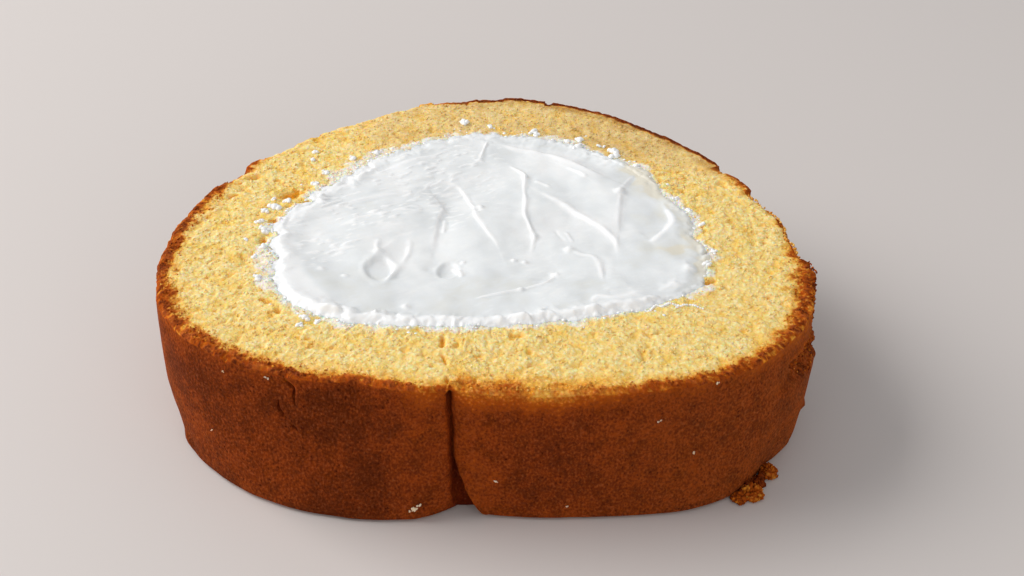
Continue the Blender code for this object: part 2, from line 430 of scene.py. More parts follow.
class Finish:
    """A material being mixed, with short ways to add and join its nodes."""

    def __init__(self, name):
        self.material = bpy.data.materials.new(name)
        self.material.use_nodes = True
        self.tree = self.material.node_tree
        self.shader = self.tree.nodes["Principled BSDF"]
        self.place = self.tree.nodes.new("ShaderNodeTexCoord").outputs["Object"]

    def set(self, **values):
        """Sets plain numbers and colours, or joins nodes, on the shader's own sockets."""
        for name, value in values.items():
            self.join(value, self.shader.inputs[SOCKETS[name]])

    def join(self, value, socket):
        """Links a node's output to a socket, or sets the socket to a plain value."""
        if isinstance(value, bpy.types.NodeSocket):
            self.tree.links.new(value, socket)
        else:
            socket.default_value = value

    def add(self, kind, output, inputs, **settings):
        """Adds a node with its inputs and settings, and returns one of its outputs."""
        node = self.tree.nodes.new(kind)
        for name, value in settings.items():
            setattr(node, name, value)
        for socket, value in inputs.items():
            self.join(value, node.inputs[socket])
        return node.outputs[output]

    def noted(self, name):
        """A number that is noted on the mesh's points."""
        return self.add("ShaderNodeAttribute", "Fac", {}, attribute_name=name)

    def stretched(self, x, y, z):
        return self.add("ShaderNodeMapping", "Vector", {"Vector": self.place, "Scale": (x, y, z)})

    def noise(self, size, detail=2.0, rough=0.5, place=None):
        """Cloudy noise with lumps of about size millimetres."""
        inputs = {"Vector": place or self.place, "Scale": 1 / (size * MM), "Detail": detail,
                  "Roughness": rough}
        return self.add("ShaderNodeTexNoise", "Fac", inputs)

    def cells(self, size, place):
        """Distance from the middle of each cell of about size millimetres."""
        inputs = {"Vector": place, "Scale": 1 / (size * MM)}
        return self.add("ShaderNodeTexVoronoi", "Distance", inputs)

    def math(self, operation, first, second=0.0, clamp=False):
        return self.add("ShaderNodeMath", 0, {0: first, 1: second}, operation=operation,
                        use_clamp=clamp)

    def times(self, first, second, clamp=False):
        return self.math("MULTIPLY", first, second, clamp)

    def plus(self, first, second, clamp=False):
        return self.math("ADD", first, second, clamp)

    def centred(self, value, amount):
        """Noise of this amount either side of 0."""
        return self.times(self.math("SUBTRACT", value, 0.5), amount)

    def scale(self, value, low, high, to_low=0.0, to_high=1.0):
        """Spreads the values between low and high over another range."""
        inputs = {"Value": value, "From Min": low, "From Max": high, "To Min": to_low,
                  "To Max": to_high}
        return self.add("ShaderNodeMapRange", "Result", inputs)

    def mix(self, share, first, second):
        """The first colour, with a share of the second one over it."""
        node = self.tree.nodes.new("ShaderNodeMix")
        node.data_type = "RGBA"
        self.join(share, node.inputs[0])
        self.join(first, node.inputs[6])
        self.join(second, node.inputs[7])
        return node.outputs[2]

    def coats(self, colour, *layers):
        """A colour with others laid over it in turn. Each layer is its share and its colour."""
        for share, over in layers:
            colour = self.mix(share, colour, over)
        return colour

    def ramp(self, value, stops):
        """Colours by value. Each stop is a place from 0 to 1 and a colour from 0 to 255."""
        node = self.tree.nodes.new("ShaderNodeValToRGB")
        elements = node.color_ramp.elements
        while len(elements) < len(stops):
            elements.new(0.5)
        for element, (place, *colour) in zip(elements, stops):
            element.position = place
            element.color = paint(*colour)
        self.join(value, node.inputs["Fac"])
        return node.outputs["Color"]

    def bump(self, height, depth, strength):
        """Relief of about depth millimetres."""
        inputs = {"Height": height, "Distance": depth * MM, "Strength": strength}
        return self.add("ShaderNodeBump", "Normal", inputs)


# Colours of the sponge from raw crumb at 0 to the darkest skin at 1: place, red, green and blue.
# BAKED is the usual run of them. PALE_AND_LIT is the pale tone of some grains and the painted highlight on
# the granules' tops, GOLDEN lies in clouds and SPECKLED in specks. GAP_SHADE is the painted shade between
# the granules and HOLLOW_SHADE the painted shade in hollows.
BAKED = (
    (0.00, 255, 229, 162), (0.12, 252, 200, 92), (0.30, 240, 148, 34), (0.50, 194, 94, 16),
    (0.72, 156, 68, 16), (0.90, 140, 59, 15), (1.00, 106, 42, 6),
)
PALE_AND_LIT = ((0.0, 255, 233, 178), (0.3, 250, 190, 102), (0.55, 214, 126, 58), (0.8, 170, 84, 34),
        (1.0, 126, 56, 18))
GOLDEN = ((0.0, 250, 200, 94), (0.5, 182, 84, 14), (1.0, 98, 36, 3))
SPECKLED = ((0.0, 255, 232, 170), (0.3, 244, 164, 62), (0.6, 192, 96, 36), (1.0, 144, 72, 36))
GAP_SHADE = ((0.0, 250, 200, 98), (0.5, 158, 70, 10), (1.0, 90, 32, 4))
HOLLOW_SHADE = ((0.0, 250, 182, 52), (0.5, 150, 58, 5), (1.0, 88, 16, 0))
# Tan of toasted crumb, also laid on the right-hand wall as a painted sheen
TOAST_AND_SHEEN = (180, 130, 64)
SKIN_PORES = (70, 20, 0)
SKIN_DUST = (186, 112, 72)
# Colours of the cream, from a thin film and painted shade at 0 to the thickest cream and painted highlights
# at 1, and of its smears
WHITES = ((0.0, 231, 226, 211), (0.1, 230, 231, 227), (0.3, 234, 237, 238), (0.5, 245, 247, 247),
          (1.0, 254, 255, 255))
RUBBED_CREAM = (246, 241, 229)
GRANULE = 0.58  # size of the crumb's granules


def sponge_finish(name, through):
    """Yellow crumb that browns towards the skin, with painted highlights on the granules' tops and painted
    shade between them and in hollows. Bake, the hollows' painted shade, tone, toast with the wall's painted
    sheen, and smear are noted on the mesh; through is how much light passes below the surface."""
    finish = Finish(name)
    bake, hollow_shade, tone, toast_and_sheen, smear = (
        finish.noted(kind) for kind in ("bake", "hollow_shade", "tone", "toast_and_sheen", "smear"))
    fine = finish.noise(0.45, 3.0, 0.6)
    cloud = finish.noise(2.6, 3.0, 0.55)
    broad = finish.noise(7.0, 2.0)
    spread = finish.plus(finish.centred(fine, 0.55), finish.centred(cloud, 0.3))
    spread = finish.plus(spread, finish.centred(broad, 0.35))
    near_skin = finish.times(bake, 4.0, clamp=True)
    browned = finish.plus(bake, finish.times(spread, near_skin), clamp=True)

    # Granules: painted highlights on their tops and painted shade in the gaps between them, both weak on
    # skin and toasted crumb
    warp = finish.add("ShaderNodeTexNoise", "Color",
                      {"Vector": finish.place, "Scale": 1 / (0.8 * MM), "Detail": 1.0})
    moved = finish.add("ShaderNodeVectorMath", 0,
                       {0: warp, 1: (0.45 * MM, 0.45 * MM, 0.45 * MM), 2: finish.place},
                       operation="MULTIPLY_ADD")
    granules = finish.cells(GRANULE, moved)
    crumby = finish.times(finish.scale(browned, 0.5, 0.8, 1.0, 0.0),
                          finish.scale(toast_and_sheen, 0.04, 0.4, 1.0, 0.35))
    shaded_gaps = finish.times(finish.scale(granules, 0.3, 0.62, 0.0, 0.55), crumby)
    lit_tops = finish.times(finish.scale(granules, 0.06, 0.34, 0.6, 0.0), crumby)
    # Painted shade in the hollows, weaker on toasted crumb
    deep = finish.times(hollow_shade, finish.scale(toast_and_sheen, 0.04, 0.5, 0.9, 0.6), clamp=True)
    baked, pale_and_lit, golden, speckled, gap_shade, shaded = (
        finish.ramp(browned, stops) for stops in (BAKED, PALE_AND_LIT, GOLDEN, SPECKLED, GAP_SHADE, HOLLOW_SHADE))
    crumb = finish.coats(
        baked,
        (finish.scale(tone, 0.45, 1.0, 0.0, 0.85), pale_and_lit),
        (finish.scale(cloud, 0.5, 0.66, 0.0, 0.75), golden),
        (finish.scale(fine, 0.4, 0.72, 0.0, 0.4), speckled),
        (shaded_gaps, gap_shade),
        (lit_tops, pale_and_lit),
        (deep, shaded),
        (finish.times(toast_and_sheen, finish.scale(fine, 0.3, 0.7, 0.6, 1.1)), paint(*TOAST_AND_SHEEN)),
    )

    # Skin: dark pores and light dust, drawn out a little up and down the wall
    skin = finish.scale(browned, 0.6, 0.85)
    tall = finish.stretched(1.0, 1.0, 0.75)
    pores = finish.cells(0.5, tall)
    grain = finish.noise(0.32, 3.0, 0.6, place=tall)
    strewn = finish.scale(finish.noise(1.3, 2.0, 0.6, place=tall), 0.4, 0.62, 0.0, 0.6)
    dark = finish.plus(finish.times(finish.scale(pores, 0.05, 0.4, 1.0, 0.0), strewn),
                       finish.scale(grain, 0.4, 0.6, 0.62, 0.0))
    light = finish.scale(grain, 0.58, 0.74, 0.0, 0.24)
    rubbed = finish.times(smear, finish.scale(finish.noise(0.9, 2.0), 0.32, 0.58, 0.4, 0.97))
    finish.set(base_color=finish.coats(
        crumb,
        (finish.times(dark, skin), paint(*SKIN_PORES)),
        (finish.times(light, skin), paint(*SKIN_DUST)),
        (rubbed, paint(*RUBBED_CREAM)),
    ))
    finish.set(roughness=finish.scale(browned, 0.5, 1.0, 0.95, 0.8), specular=0.06)
    finish.set(subsurface_weight=through, subsurface_radius=(1.0, 0.6, 0.2), subsurface_scale=0.0008)
    relief = finish.plus(finish.noise(0.3, 3.0, 0.65),
                         finish.times(pores, finish.scale(browned, 0.5, 1.0, 0.0, 0.5)))
    domes = finish.times(granules, finish.times(crumby, 1.7))
    finish.set(normal=finish.bump(finish.math("SUBTRACT", relief, domes), 0.12, 0.8))
    return finish.material


def cream_finish(name, through):
    """Whipped cream: satin, whitest where it is thick and on its painted highlights, and a little grey
    where it is thin and in its painted shade. Both are noted on the mesh as one number; through is how much
    light passes below the surface."""
    finish = Finish(name)
    mottle = finish.plus(finish.centred(finish.noise(2.2, 3.0), 0.3),
                         finish.centred(finish.noise(8.0, 2.0), 0.7))
    thick_and_lit = finish.plus(finish.noted("thick_and_lit"), mottle, clamp=True)
    finish.set(base_color=finish.ramp(thick_and_lit, WHITES))
    finish.set(roughness=finish.scale(finish.noise(1.2, 2.0), 0.3, 0.7, 0.29, 0.42), specular=0.4)
    finish.set(subsurface_weight=through, subsurface_radius=(1.0, 0.95, 0.9), subsurface_scale=0.0012)
    finish.set(normal=finish.bump(finish.noise(0.5, 3.0, 0.6), 0.04, 0.5))
    return finish.material


# ---------------------------------------------------------------- the slice's surface


def roll_degrees(x, y):
    """Bearings round the roll's middle, in degrees from 0 to 360."""
    return np.degrees(bearing_of(x, y, ROLL_CENTRE))


def band_width(x, y):
    """Width of the browned band at the nearest part of the skin."""
    return look_up(BROWN_BAND, roll_degrees(x, y))


def skin_line(x, y):
    """How high up the wall the skin reaches, ragged where it came off."""
    degrees = roll_degrees(x, y)
    lost = look_up(LOST_SKIN, degrees)
    rough = ripples_along(np.radians(degrees) * 40, (0.5, 2.6, 3), (0.3, 0.9, 4))
    return TOP + 0.6 - lost * (1.2 + rough) - np.where(lost > 0.2, 0.6, 0.0)


def torn(x, y, z, arc):
    """The torn skin of the right-hand end: how deep its holes are (less than 0 where the lip of
    the skin stands up) and how rough the crumb is there."""
    degrees = (roll_degrees(x, y) + 180) % 360 - 180
    ragged = ripples(arc, z, (0.4, 1.7, 27), (0.25, 0.8, 28))
    top = look_up(TORN_TOP, degrees) + ragged
    foot = look_up(TORN_FOOT, degrees) + 2 * ragged
    window = between(degrees, -22.3, 9, 1.2, 6)
    rough = ease(top - z) * ease((z - foot) / 1.8) * window
    holes = np.zeros_like(arc)
    for bearing, height, radius, depth in TORN_HOLES:
        along = radians(1) * (degrees - bearing) * ARC_RADIUS
        away = np.hypot(along, z - height) / radius + 0.35 * swells(arc, z, 0.8, 33)
        holes = np.maximum(holes, depth * ease(1.5 - away))
    lip = 0.12 * bell((z - top - 0.1) / 0.28) * window * (z < TOP - 1.0)
    return holes - lip, rough


def nubs(x, y, z):
    """Small nubs and nicks in the skin."""
    degrees = roll_degrees(x, y)
    total = np.zeros_like(z)
    for bearing, height, out, half_height, half_length, fall in NUBS:
        along = radians(1) * (degrees - bearing) * ARC_RADIUS
        away = np.hypot(along / half_length, (z - height + fall * along) / half_height)
        total = total + out * bell(away, 2.5)
    return total


def seam_place(z):
    """The seam's x, which wanders a little on its way up."""
    return SEAM_X + SEAM_LEAN * z + 0.07 * np.sin(0.9 * z + 0.6) + 0.05 * np.sin(2.3 * z)


def seam_groove(x, z):
    """Depth of the seam in the flat side: a shallow valley, a slit, and the lifted corner of the
    right-hand flap."""
    across = x - seam_place(z)
    left = across < 0
    valley = np.where(left, 1.1 * bell(across / 3.2, 1.5), 1.5 * bell(across / 6.0, 1.3))
    open_side = 0.75 * bell(across / 0.3) + 0.25 * bell(across / 0.9, 1.5)
    slit = SEAM_DEPTH * np.where(left, bell(across / 0.2), open_side)
    slit = slit * ease((TOP - 0.25 - z) / 0.7) * ease((z - 1) / 6)
    before = 2.4 * np.clip((across + 6.0) / 6.2, 0, 1) ** 1.8
    rounded = np.where(left, before, 0.6 * bell((across - 5.0) / 2.5, 1.0))
    rounded = rounded * np.clip(1 - z / 6.5, 0, 1) ** 2
    width = CORNER_WIDTH * np.clip(1 - z / CORNER_HEIGHT, 0, 1) + 1.3 * np.exp(-z / 0.7)
    recess = ease((width + 0.25 - across) / CORNER_ROUND) * ease((across + 0.25) / 0.3)
    recess = CORNER_DEPTH * recess * ease((CORNER_HEIGHT - z) / 1.5)
    return np.maximum(valley + slit + rounded, recess)


def seam_shade(x, z):
    """Painted shade for the seam: 1 deep in its slit and under the lifted corner."""
    across = x - seam_place(z)
    slit = bell(across / np.where(across < 0, 0.3, 0.8)) * ease((TOP - 0.4 - z) / 0.7)
    dark = np.clip(np.maximum(seam_groove(x, z) / 1.1 - 1.35, slit), 0, 1)
    return dark * (np.abs(x - SEAM_X) < SEAM_WINDOW)


# Holes in the crumb: x, y, length, width, turn in degrees, depth
HOLES = (
    (-30.8, 7.6, 4.0, 2.1, 40, 1.3), (-28.1, 5.4, 1.4, 0.9, 20, 0.8), (-32.6, 0.4, 1.8, 1.2, 70, 1.1),
    (-33.3, -5.2, 1.6, 1.1, 80, 0.9), (-39.8, 6.6, 1.8, 1.0, 30, 0.7), (-37.4, 12.1, 1.9, 1.1, 30, 0.9),
    (-33.7, 11.6, 1.2, 0.7, 20, 0.5), (-38.9, -14.0, 0.8, 0.6, 0, 0.5), (-30.7, -20.2, 1.6, 0.8, 160, 0.7),
    (-28.7, -22.5, 1.5, 0.9, 130, 0.7), (31.0, -13.5, 1.9, 1.0, 30, 0.8), (38.7, -17.3, 1.2, 0.9, 0, 0.7),
    (15.9, 20.9, 2.2, 0.9, 150, 0.8), (17.8, 19.9, 1.4, 0.8, 0, 0.7), (-6.0, -28.6, 3.4, 0.75, 92, 0.9),
    (-5.5, -32.2, 2.2, 0.6, 108, 0.8), (-5.0, -36.6, 1.6, 0.5, 95, 0.7), (-7.2, -33.8, 0.9, 0.7, 20, 0.5),
    (4.0, -27.0, 2.4, 0.8, 5, 0.7), (-9.0, -36.0, 0.9, 0.6, 0, 0.5), (5.5, -30.5, 0.7, 0.9, 0, 0.5),
)


def coarse_grains(x, y):
    """The larger grains of the cut face: distance to the nearest one and its random number."""
    return grains(x + 0.25 * swells(x, y, 1.1, 8), y, 0.95, 5)


def fine_grains(x, y):
    """The smaller grains of the cut face."""
    return grains(x, y + 0.15 * swells(x, y, 0.7, 9), 0.5, 6)


def wall_grains(arc, z):
    """The grains of the wall, which show where it has no skin."""
    return grains(arc, z, 0.75, 23)


def crumb_relief(x, y):
    """Height of the cut crumb above its level, and how deep in a hollow each point lies, which is painted
    as shade.
    """
    rough = ripples(x, y, (0.13, 4.2, 1), (0.11, 1.9, 2), (0.07, 0.6, 3))
    away, number = coarse_grains(x, y)
    clump = (0.35 + 0.65 * number) * dome(away, 0.85)
    away, number = fine_grains(x, y)
    crumb = (0.3 + 0.7 * number) * dome(away, 0.85)
    pits = 0.8 * np.clip(-0.38 - ripples(x, y, (0.55, 1.5, 6), (0.45, 0.7, 7)), 0, 0.6)
    wobble = ripples(x, y, (0.45, 0.8, 9), (0.25, 0.4, 10))
    for *oval, depth in HOLES:
        pits = np.maximum(pits, 0.8 * depth * ease(1.3 - wobble - oval_distance(x, y, *oval)))
    relief = rough + 0.27 * clump + 0.1 * crumb - 0.25 - pits
    low = np.clip(0.62 - 0.75 * clump - 0.35 * crumb - 0.5 * rough, 0, 1)
    return relief, np.clip(0.9 * low + 1.4 * pits, 0, 1)


def face_height(x, y, edge):
    """Height of the upper cut face at a point that is edge millimetres inside the skin."""
    relief, hollow_shade = crumb_relief(x, y)
    worn = 0.45 * np.clip(1 - edge / 0.9, 0, 1) ** 2 * (1 - back_rim(x, y))
    calm = 1 - 0.3 * np.maximum(back_rim(x, y), 0.8 * ease((y - 12) / 12))
    return TOP + relief * calm - worn, hollow_shade


def place_at(bearing, radius):
    """The x and y of points round CENTRE."""
    return CENTRE[0] + radius * np.cos(bearing), CENTRE[1] + radius * np.sin(bearing)


def wall_radius(bearing, z):
    """Radius of the wall, with the missing skin, the tear and the seam taken off it, and how bare
    of skin it is."""
    radius = SKIN(bearing, z)
    x, y = place_at(bearing, radius)
    degrees = roll_degrees(x, y)
    arc = bearing * ARC_RADIUS
    radius = radius + look_up(EDGE_OUT, degrees) * ease((z - (TOP - 6.5)) / 5.0)
    radius = radius + look_up(FOOT_OUT, degrees) * ease((13 - z) / 12)
    bare = ease((z - skin_line(x, y)) / 0.35)
    away, number = wall_grains(arc, z)
    lumps = (0.3 + 0.7 * number) * dome(away, 0.8)
    coarse = ripples(arc, z, (0.3, 1.5, 21), (0.2, 0.7, 22)) + 0.3 * lumps
    radius = radius - bare * (SKIN_THICKNESS - coarse)
    radius = radius + (1 - bare) * ripples(arc, z, (0.14, 7.0, 24), (0.05, 2.2, 29))
    crumbly = crumbly_edge(x, y, z, arc)
    radius = radius + crumbly * (0.1 * swells(arc, z, 1.3, 25) + 0.16 * lumps - 0.12)
    holes, rough = torn(x, y, z, arc)
    radius = radius - holes + rough * (0.32 * lumps + 0.15 * swells(arc, z, 1.0, 30) - TORN_DEPTH)
    radius = radius + nubs(x, y, z) - 0.5 * np.clip(1 - z / 0.6, 0, 1) ** 2
    front = (y < ROLL_CENTRE[1] - 12) & (np.abs(x - SEAM_X) < 26)
    return radius - np.where(front, seam_groove(x, z), 0.0), bare


def crumbly_edge(x, y, z, arc):
    """1 along the ragged upper edge of the skin, where the knife roughened it."""
    deep = 0.45 + ripples_along(arc, (0.35, 3.0, 35), (0.25, 1.0, 36))
    deep = deep * (1 - 0.6 * glow(x, y, TOP)) * (1 - back_rim(x, y))
    return ease((z - (TOP - deep - 0.25)) / 0.5) * ease(band_width(x, y) / 0.6) * (deep > 0.1)


# ---------------------------------------------------------------- sponge

RING_INNER = 30.0
RING_OUTER = 46.0
RING_STEPS = 520
FACE_ROWS = 26
WALL_ROWS = 38
BASE_ROWS = 8
HOLE_ROWS = 6
FINE_BAND = 2.9  # the wall's top stretch, which is divided twice as finely
FINE_TEAR = 15.5  # the same at the tear
FINE_CRACK = 9.5  # and at the cracks
TEAR_START, TEAR_END = radians(322), radians(4)
CRACKED = (-28.0, -23.8)  # the cracks' stretch of the flat side, in x
FLAT_SIDE = -36.4  # the flat side's y there
# Where the ring's steps are crowded: x on the flat side, reach, how many times more of them
CROWDED = ((SEAM_X, 1.0, 3.2), (SEAM_X + 2.0, 2.2, 1.0), (-25.8, 1.8, 2.2))


def ring_bearings():
    """The bearing of each even step round the plain ring: even along the skin, but crowded at
    the seam and the cracks."""
    turns = np.linspace(0, tau, 7201)
    x, y = place_at(turns, SKIN(turns, TOP - 2))
    run = np.hypot(np.diff(x), np.diff(y))
    weight = np.ones_like(run)
    for place, reach, times in CROWDED:
        weight += np.where(y[1:] < ROLL_CENTRE[1], times * bell((x[1:] - place) / reach), 0)
    total = np.concatenate([[0], np.cumsum(run * weight)])
    return turns, np.interp(turns, total / total[-1] * tau, turns)


def plain_ring():
    """A square-cut ring, spun from a rectangle, with finer faces on top and at the tear."""
    deselect_all()
    middle = (RING_INNER + RING_OUTER) / 2
    bpy.ops.mesh.primitive_plane_add(
        size=MM, location=(middle * MM, 0, TOP / 2 * MM), rotation=(radians(90), 0, 0))
    ring = bpy.context.object
    ring.name = "sponge_slice"
    ring.scale = (RING_OUTER - RING_INNER, TOP, 1)
    bpy.ops.object.transform_apply()
    edit()
    bpy.ops.mesh.select_all(action="SELECT")
    bpy.ops.mesh.delete(type="ONLY_FACE")
    tiny = 0.01 * MM
    for test, rows in (
        (lambda p: p.z > TOP * MM - tiny, FACE_ROWS),
        (lambda p: p.x > RING_OUTER * MM - tiny, WALL_ROWS),
        (lambda p: p.z < tiny, BASE_ROWS),
        (lambda p: p.x < RING_INNER * MM + tiny, HOLE_ROWS),
    ):
        pick("edges", test)
        bpy.ops.mesh.subdivide(number_cuts=rows - 1)
    bpy.ops.mesh.select_all(action="SELECT")
    bpy.ops.mesh.spin(steps=RING_STEPS, angle=tau, center=(0, 0, 0), axis=(0, 0, 1))
    bpy.ops.mesh.select_all(action="SELECT")
    bpy.ops.mesh.remove_doubles(threshold=0.001 * MM)
    bpy.ops.mesh.normals_make_consistent(inside=False)
    turns, bearings = ring_bearings()
    tear_start = np.interp(TEAR_START, bearings, turns)
    crack_start, crack_end = (
        np.interp(bearing_of(x, FLAT_SIDE), bearings, turns) for x in CRACKED)

    def wants_detail(p):
        outside = p.xy.length > (RING_OUTER - 0.02) * MM
        turn = np.arctan2(p.y, p.x) % tau
        reach = FINE_TEAR if turn > tear_start or turn < TEAR_END else FINE_BAND
        reach = FINE_CRACK if crack_start < turn < crack_end else reach
        return p.z > TOP * MM - tiny or (outside and p.z > (TOP - reach) * MM)

    pick("faces", wants_detail)
    bpy.ops.mesh.subdivide(number_cuts=1)
    done()
    return ring


# Cracks in the skin of the flat side: x and height of the points along each
CRACKS = (
    ((-26.1, 20.9), (-25.3, 20.2), (-24.8, 19.5), (-24.9, 18.5), (-24.8, 17.3)),
    ((-27.0, 17.4), (-27.05, 16.3), (-26.6, 15.5), (-26.1, 14.9)),
    ((-25.6, 14.1), (-25.1, 13.6), (-24.7, 13.2)),
)
CRACK_WIDTH = 0.18
CRACK_DEPTH = 0.7
# Where cream is rubbed further out over the crumb: how much further, and an oval
SMEARS = (
    (2.4, -32.3, -12.8, 13.0, 5.5, 100), (2.2, -21.0, 18.0, 18.0, 6.0, 40),
    (1.3, 28.5, 4.0, 10.0, 3.0, 110),
)


def cracks(x, z):
    """1 along the middle of each crack, thinning out towards its ends."""
    total = np.zeros_like(x)
    for line in CRACKS:
        away, share = beside_line(x, z, line)
        width = CRACK_WIDTH * np.clip(np.minimum(share, 1 - share) / 0.3, 0.35, 1)
        total = np.maximum(total, bell(away / width))
    return total


def glow(x, y, z):
    """1 where the skin right of the seam is only golden, just under the cut edge."""
    along = ease((x + 4.6) / 1.2) * bell(np.clip(x - 6.0, 0, 99) / 12.0, 3)
    deep = 4.2 + swells(x, 0 * x, 5.0, 37) + 0.4 * swells(x, z, 1.2, 57)
    return along * np.clip((z - (TOP - deep)) / deep, 0, 1) ** 1.4 * (y < FRONT)


def face_bake(x, y, edge):
    """How brown the cut face is at a point that is edge millimetres inside the skin."""
    width = band_width(x, y)
    far = back_rim(x, y)
    gold = glow(x, y, TOP)
    band = width * (1 + ripples(x, y, (0.35, 1.6, 31), (0.25, 0.7, 32))) + 0.1
    wild = ease((width - 0.9) / 0.8)
    dark = 0.36 + 0.06 * ease((-x - 15) / 10) - 0.1 * wild
    dark = dark + (0.26 + 0.3 * wild) * fine_grains(x, y)[1] + 0.16 * coarse_grains(x, y)[1]
    brown = ease(1.45 - edge / band) * dark * (1 - 0.55 * gold)
    line = ease((1.05 + 0.3 * swells(x, y, 1.0, 72) - edge) / 0.3)
    brown = np.maximum(brown * (1 - 0.8 * far), far * line)
    uneven = 1 + ripples(x, y, (0.45, 2.4, 70), (0.25, 0.9, 71))
    golden = 0.2 * ease(1.1 - edge / (width + 2.0)) * ease(width / 0.5) * (1 - far)
    golden = np.maximum(golden, 0.32 * gold * ease(1.15 - edge / 4.0))
    return np.clip(np.maximum(brown, golden * uneven), 0, 1)


def back_rim(x, y):
    """1 along the far side, where the crumb near the skin is dull and toasted."""
    return between(roll_degrees(x, y), 34, 112, 12, 18)


def face_toast(x, y, edge):
    """How dull and tanned the crumb is: along the far side, and faintly all over the back."""
    rim = back_rim(x, y)
    near = 0.95 * ease(1.1 - edge / 4.6) * rim * (0.35 + 0.65 * ease(edge / 0.8))
    near = near * (1 - rim * ease((1.0 - edge) / 0.4))
    far = 0.36 * ease((y - 12) / 16) * (1 + 0.6 * ease((x - 5) / 15)) * ease((x + 28) / 14)
    far = far * ease((edge - 0.5) / 0.5)
    uneven = 1 + ripples(x, y, (0.4, 2.2, 55), (0.3, 0.8, 56))
    return np.clip(np.maximum(near, far) * uneven, 0, 1)


def wall_bake(x, y, z, bare, number):
    """How brown the wall is: less so in the golden stretch and where the skin is gone, with painted shade
    at the front-left and in the torn holes, and a painted sheen left of the seam.
    """
    arc = bearing_of(x, y) * ARC_RADIUS
    degrees = roll_degrees(x, y)
    gold = glow(x, y, z)
    # The bump near 236 degrees darkens the front-left of the wall as painted shade; the one near 203
    # degrees makes the skin browner there
    skin = 0.84 + 0.13 * bell((degrees - 236) / 15) + 0.1 * bell((degrees - 203) / 16)
    skin = skin + ripples(arc, z, (0.04, 9.0, 39), (0.03, 3.0, 40)) - 0.54 * gold
    under_edge = np.clip((z - TOP + 4.5) / 4.5, 0, 1) ** 1.3 * ease((4 - y) / 8)
    skin = skin - (0.15 * under_edge + 0.12 * np.exp((z - TOP) / 0.9)) * (1 - gold)
    # A lighter strip left of the seam: a painted sheen where the wall turns in towards it
    seam_sheen = bell((x + 8.4) / 3.4, 4) * (y < FRONT) * (0.3 + 0.7 * ease((z - TOP + 5) / 4))
    skin = skin - 0.15 * seam_sheen
    edge = (0.38 + 0.28 * number) * (1 - 0.4 * glow(x, y, TOP))
    skin = skin + 0.8 * crumbly_edge(x, y, z, arc) * (edge - skin)
    holes, rough = torn(x, y, z, arc)
    # The torn holes are painted darker, as shade; where the skin's lip stands up it is lighter
    skin = skin + rough * (0.6 + 0.32 * number - skin) + np.where(holes > 0, 0.3, 1.2) * holes
    lost = 0.45 * number * ease(band_width(x, y) / 0.8) + 0.06 + 0.1 * number
    return skin * (1 - bare) + lost * bare


def cream_edge(bearing):
    """How far the cream's visible edge lies outside the filling's outline: ragged, a little
    calmer along the front and rougher at the left-hand end."""
    ragged = ripples_along(bearing * 30, (0.5, 2.6, 61), (0.35, 1.1, 62), (0.25, 0.6, 63))
    front = between(bearing, radians(235), radians(330), 0.3, 0.3)
    left = between(bearing, radians(135), radians(215), 0.3, 0.3)
    ragged = ragged * (1 - 0.4 * front + 0.9 * left)
    return look_up(CREAM_OUT, np.degrees(bearing)) + ragged


def past_cream(x, y):
    """Distance outside the cream's visible edge."""
    bearing = bearing_of(x, y)
    away = np.hypot(x - CENTRE[0], y - CENTRE[1])
    return away - FILLING(bearing, TOP / 2 + 0 * bearing) - cream_edge(bearing)


def cream_smear(x, y):
    """How much cream is rubbed into the crumb just outside the filling."""
    outside = past_cream(x, y)
    reach = 0.5 + ripples(x, y, (1.0, 3.1, 33), (0.8, 1.0, 34))
    for further, *oval in SMEARS:
        reach = reach + further * in_oval(x, y, *oval)
    return ease(0.5 + (reach - outside) / 0.9) * (outside > -3)


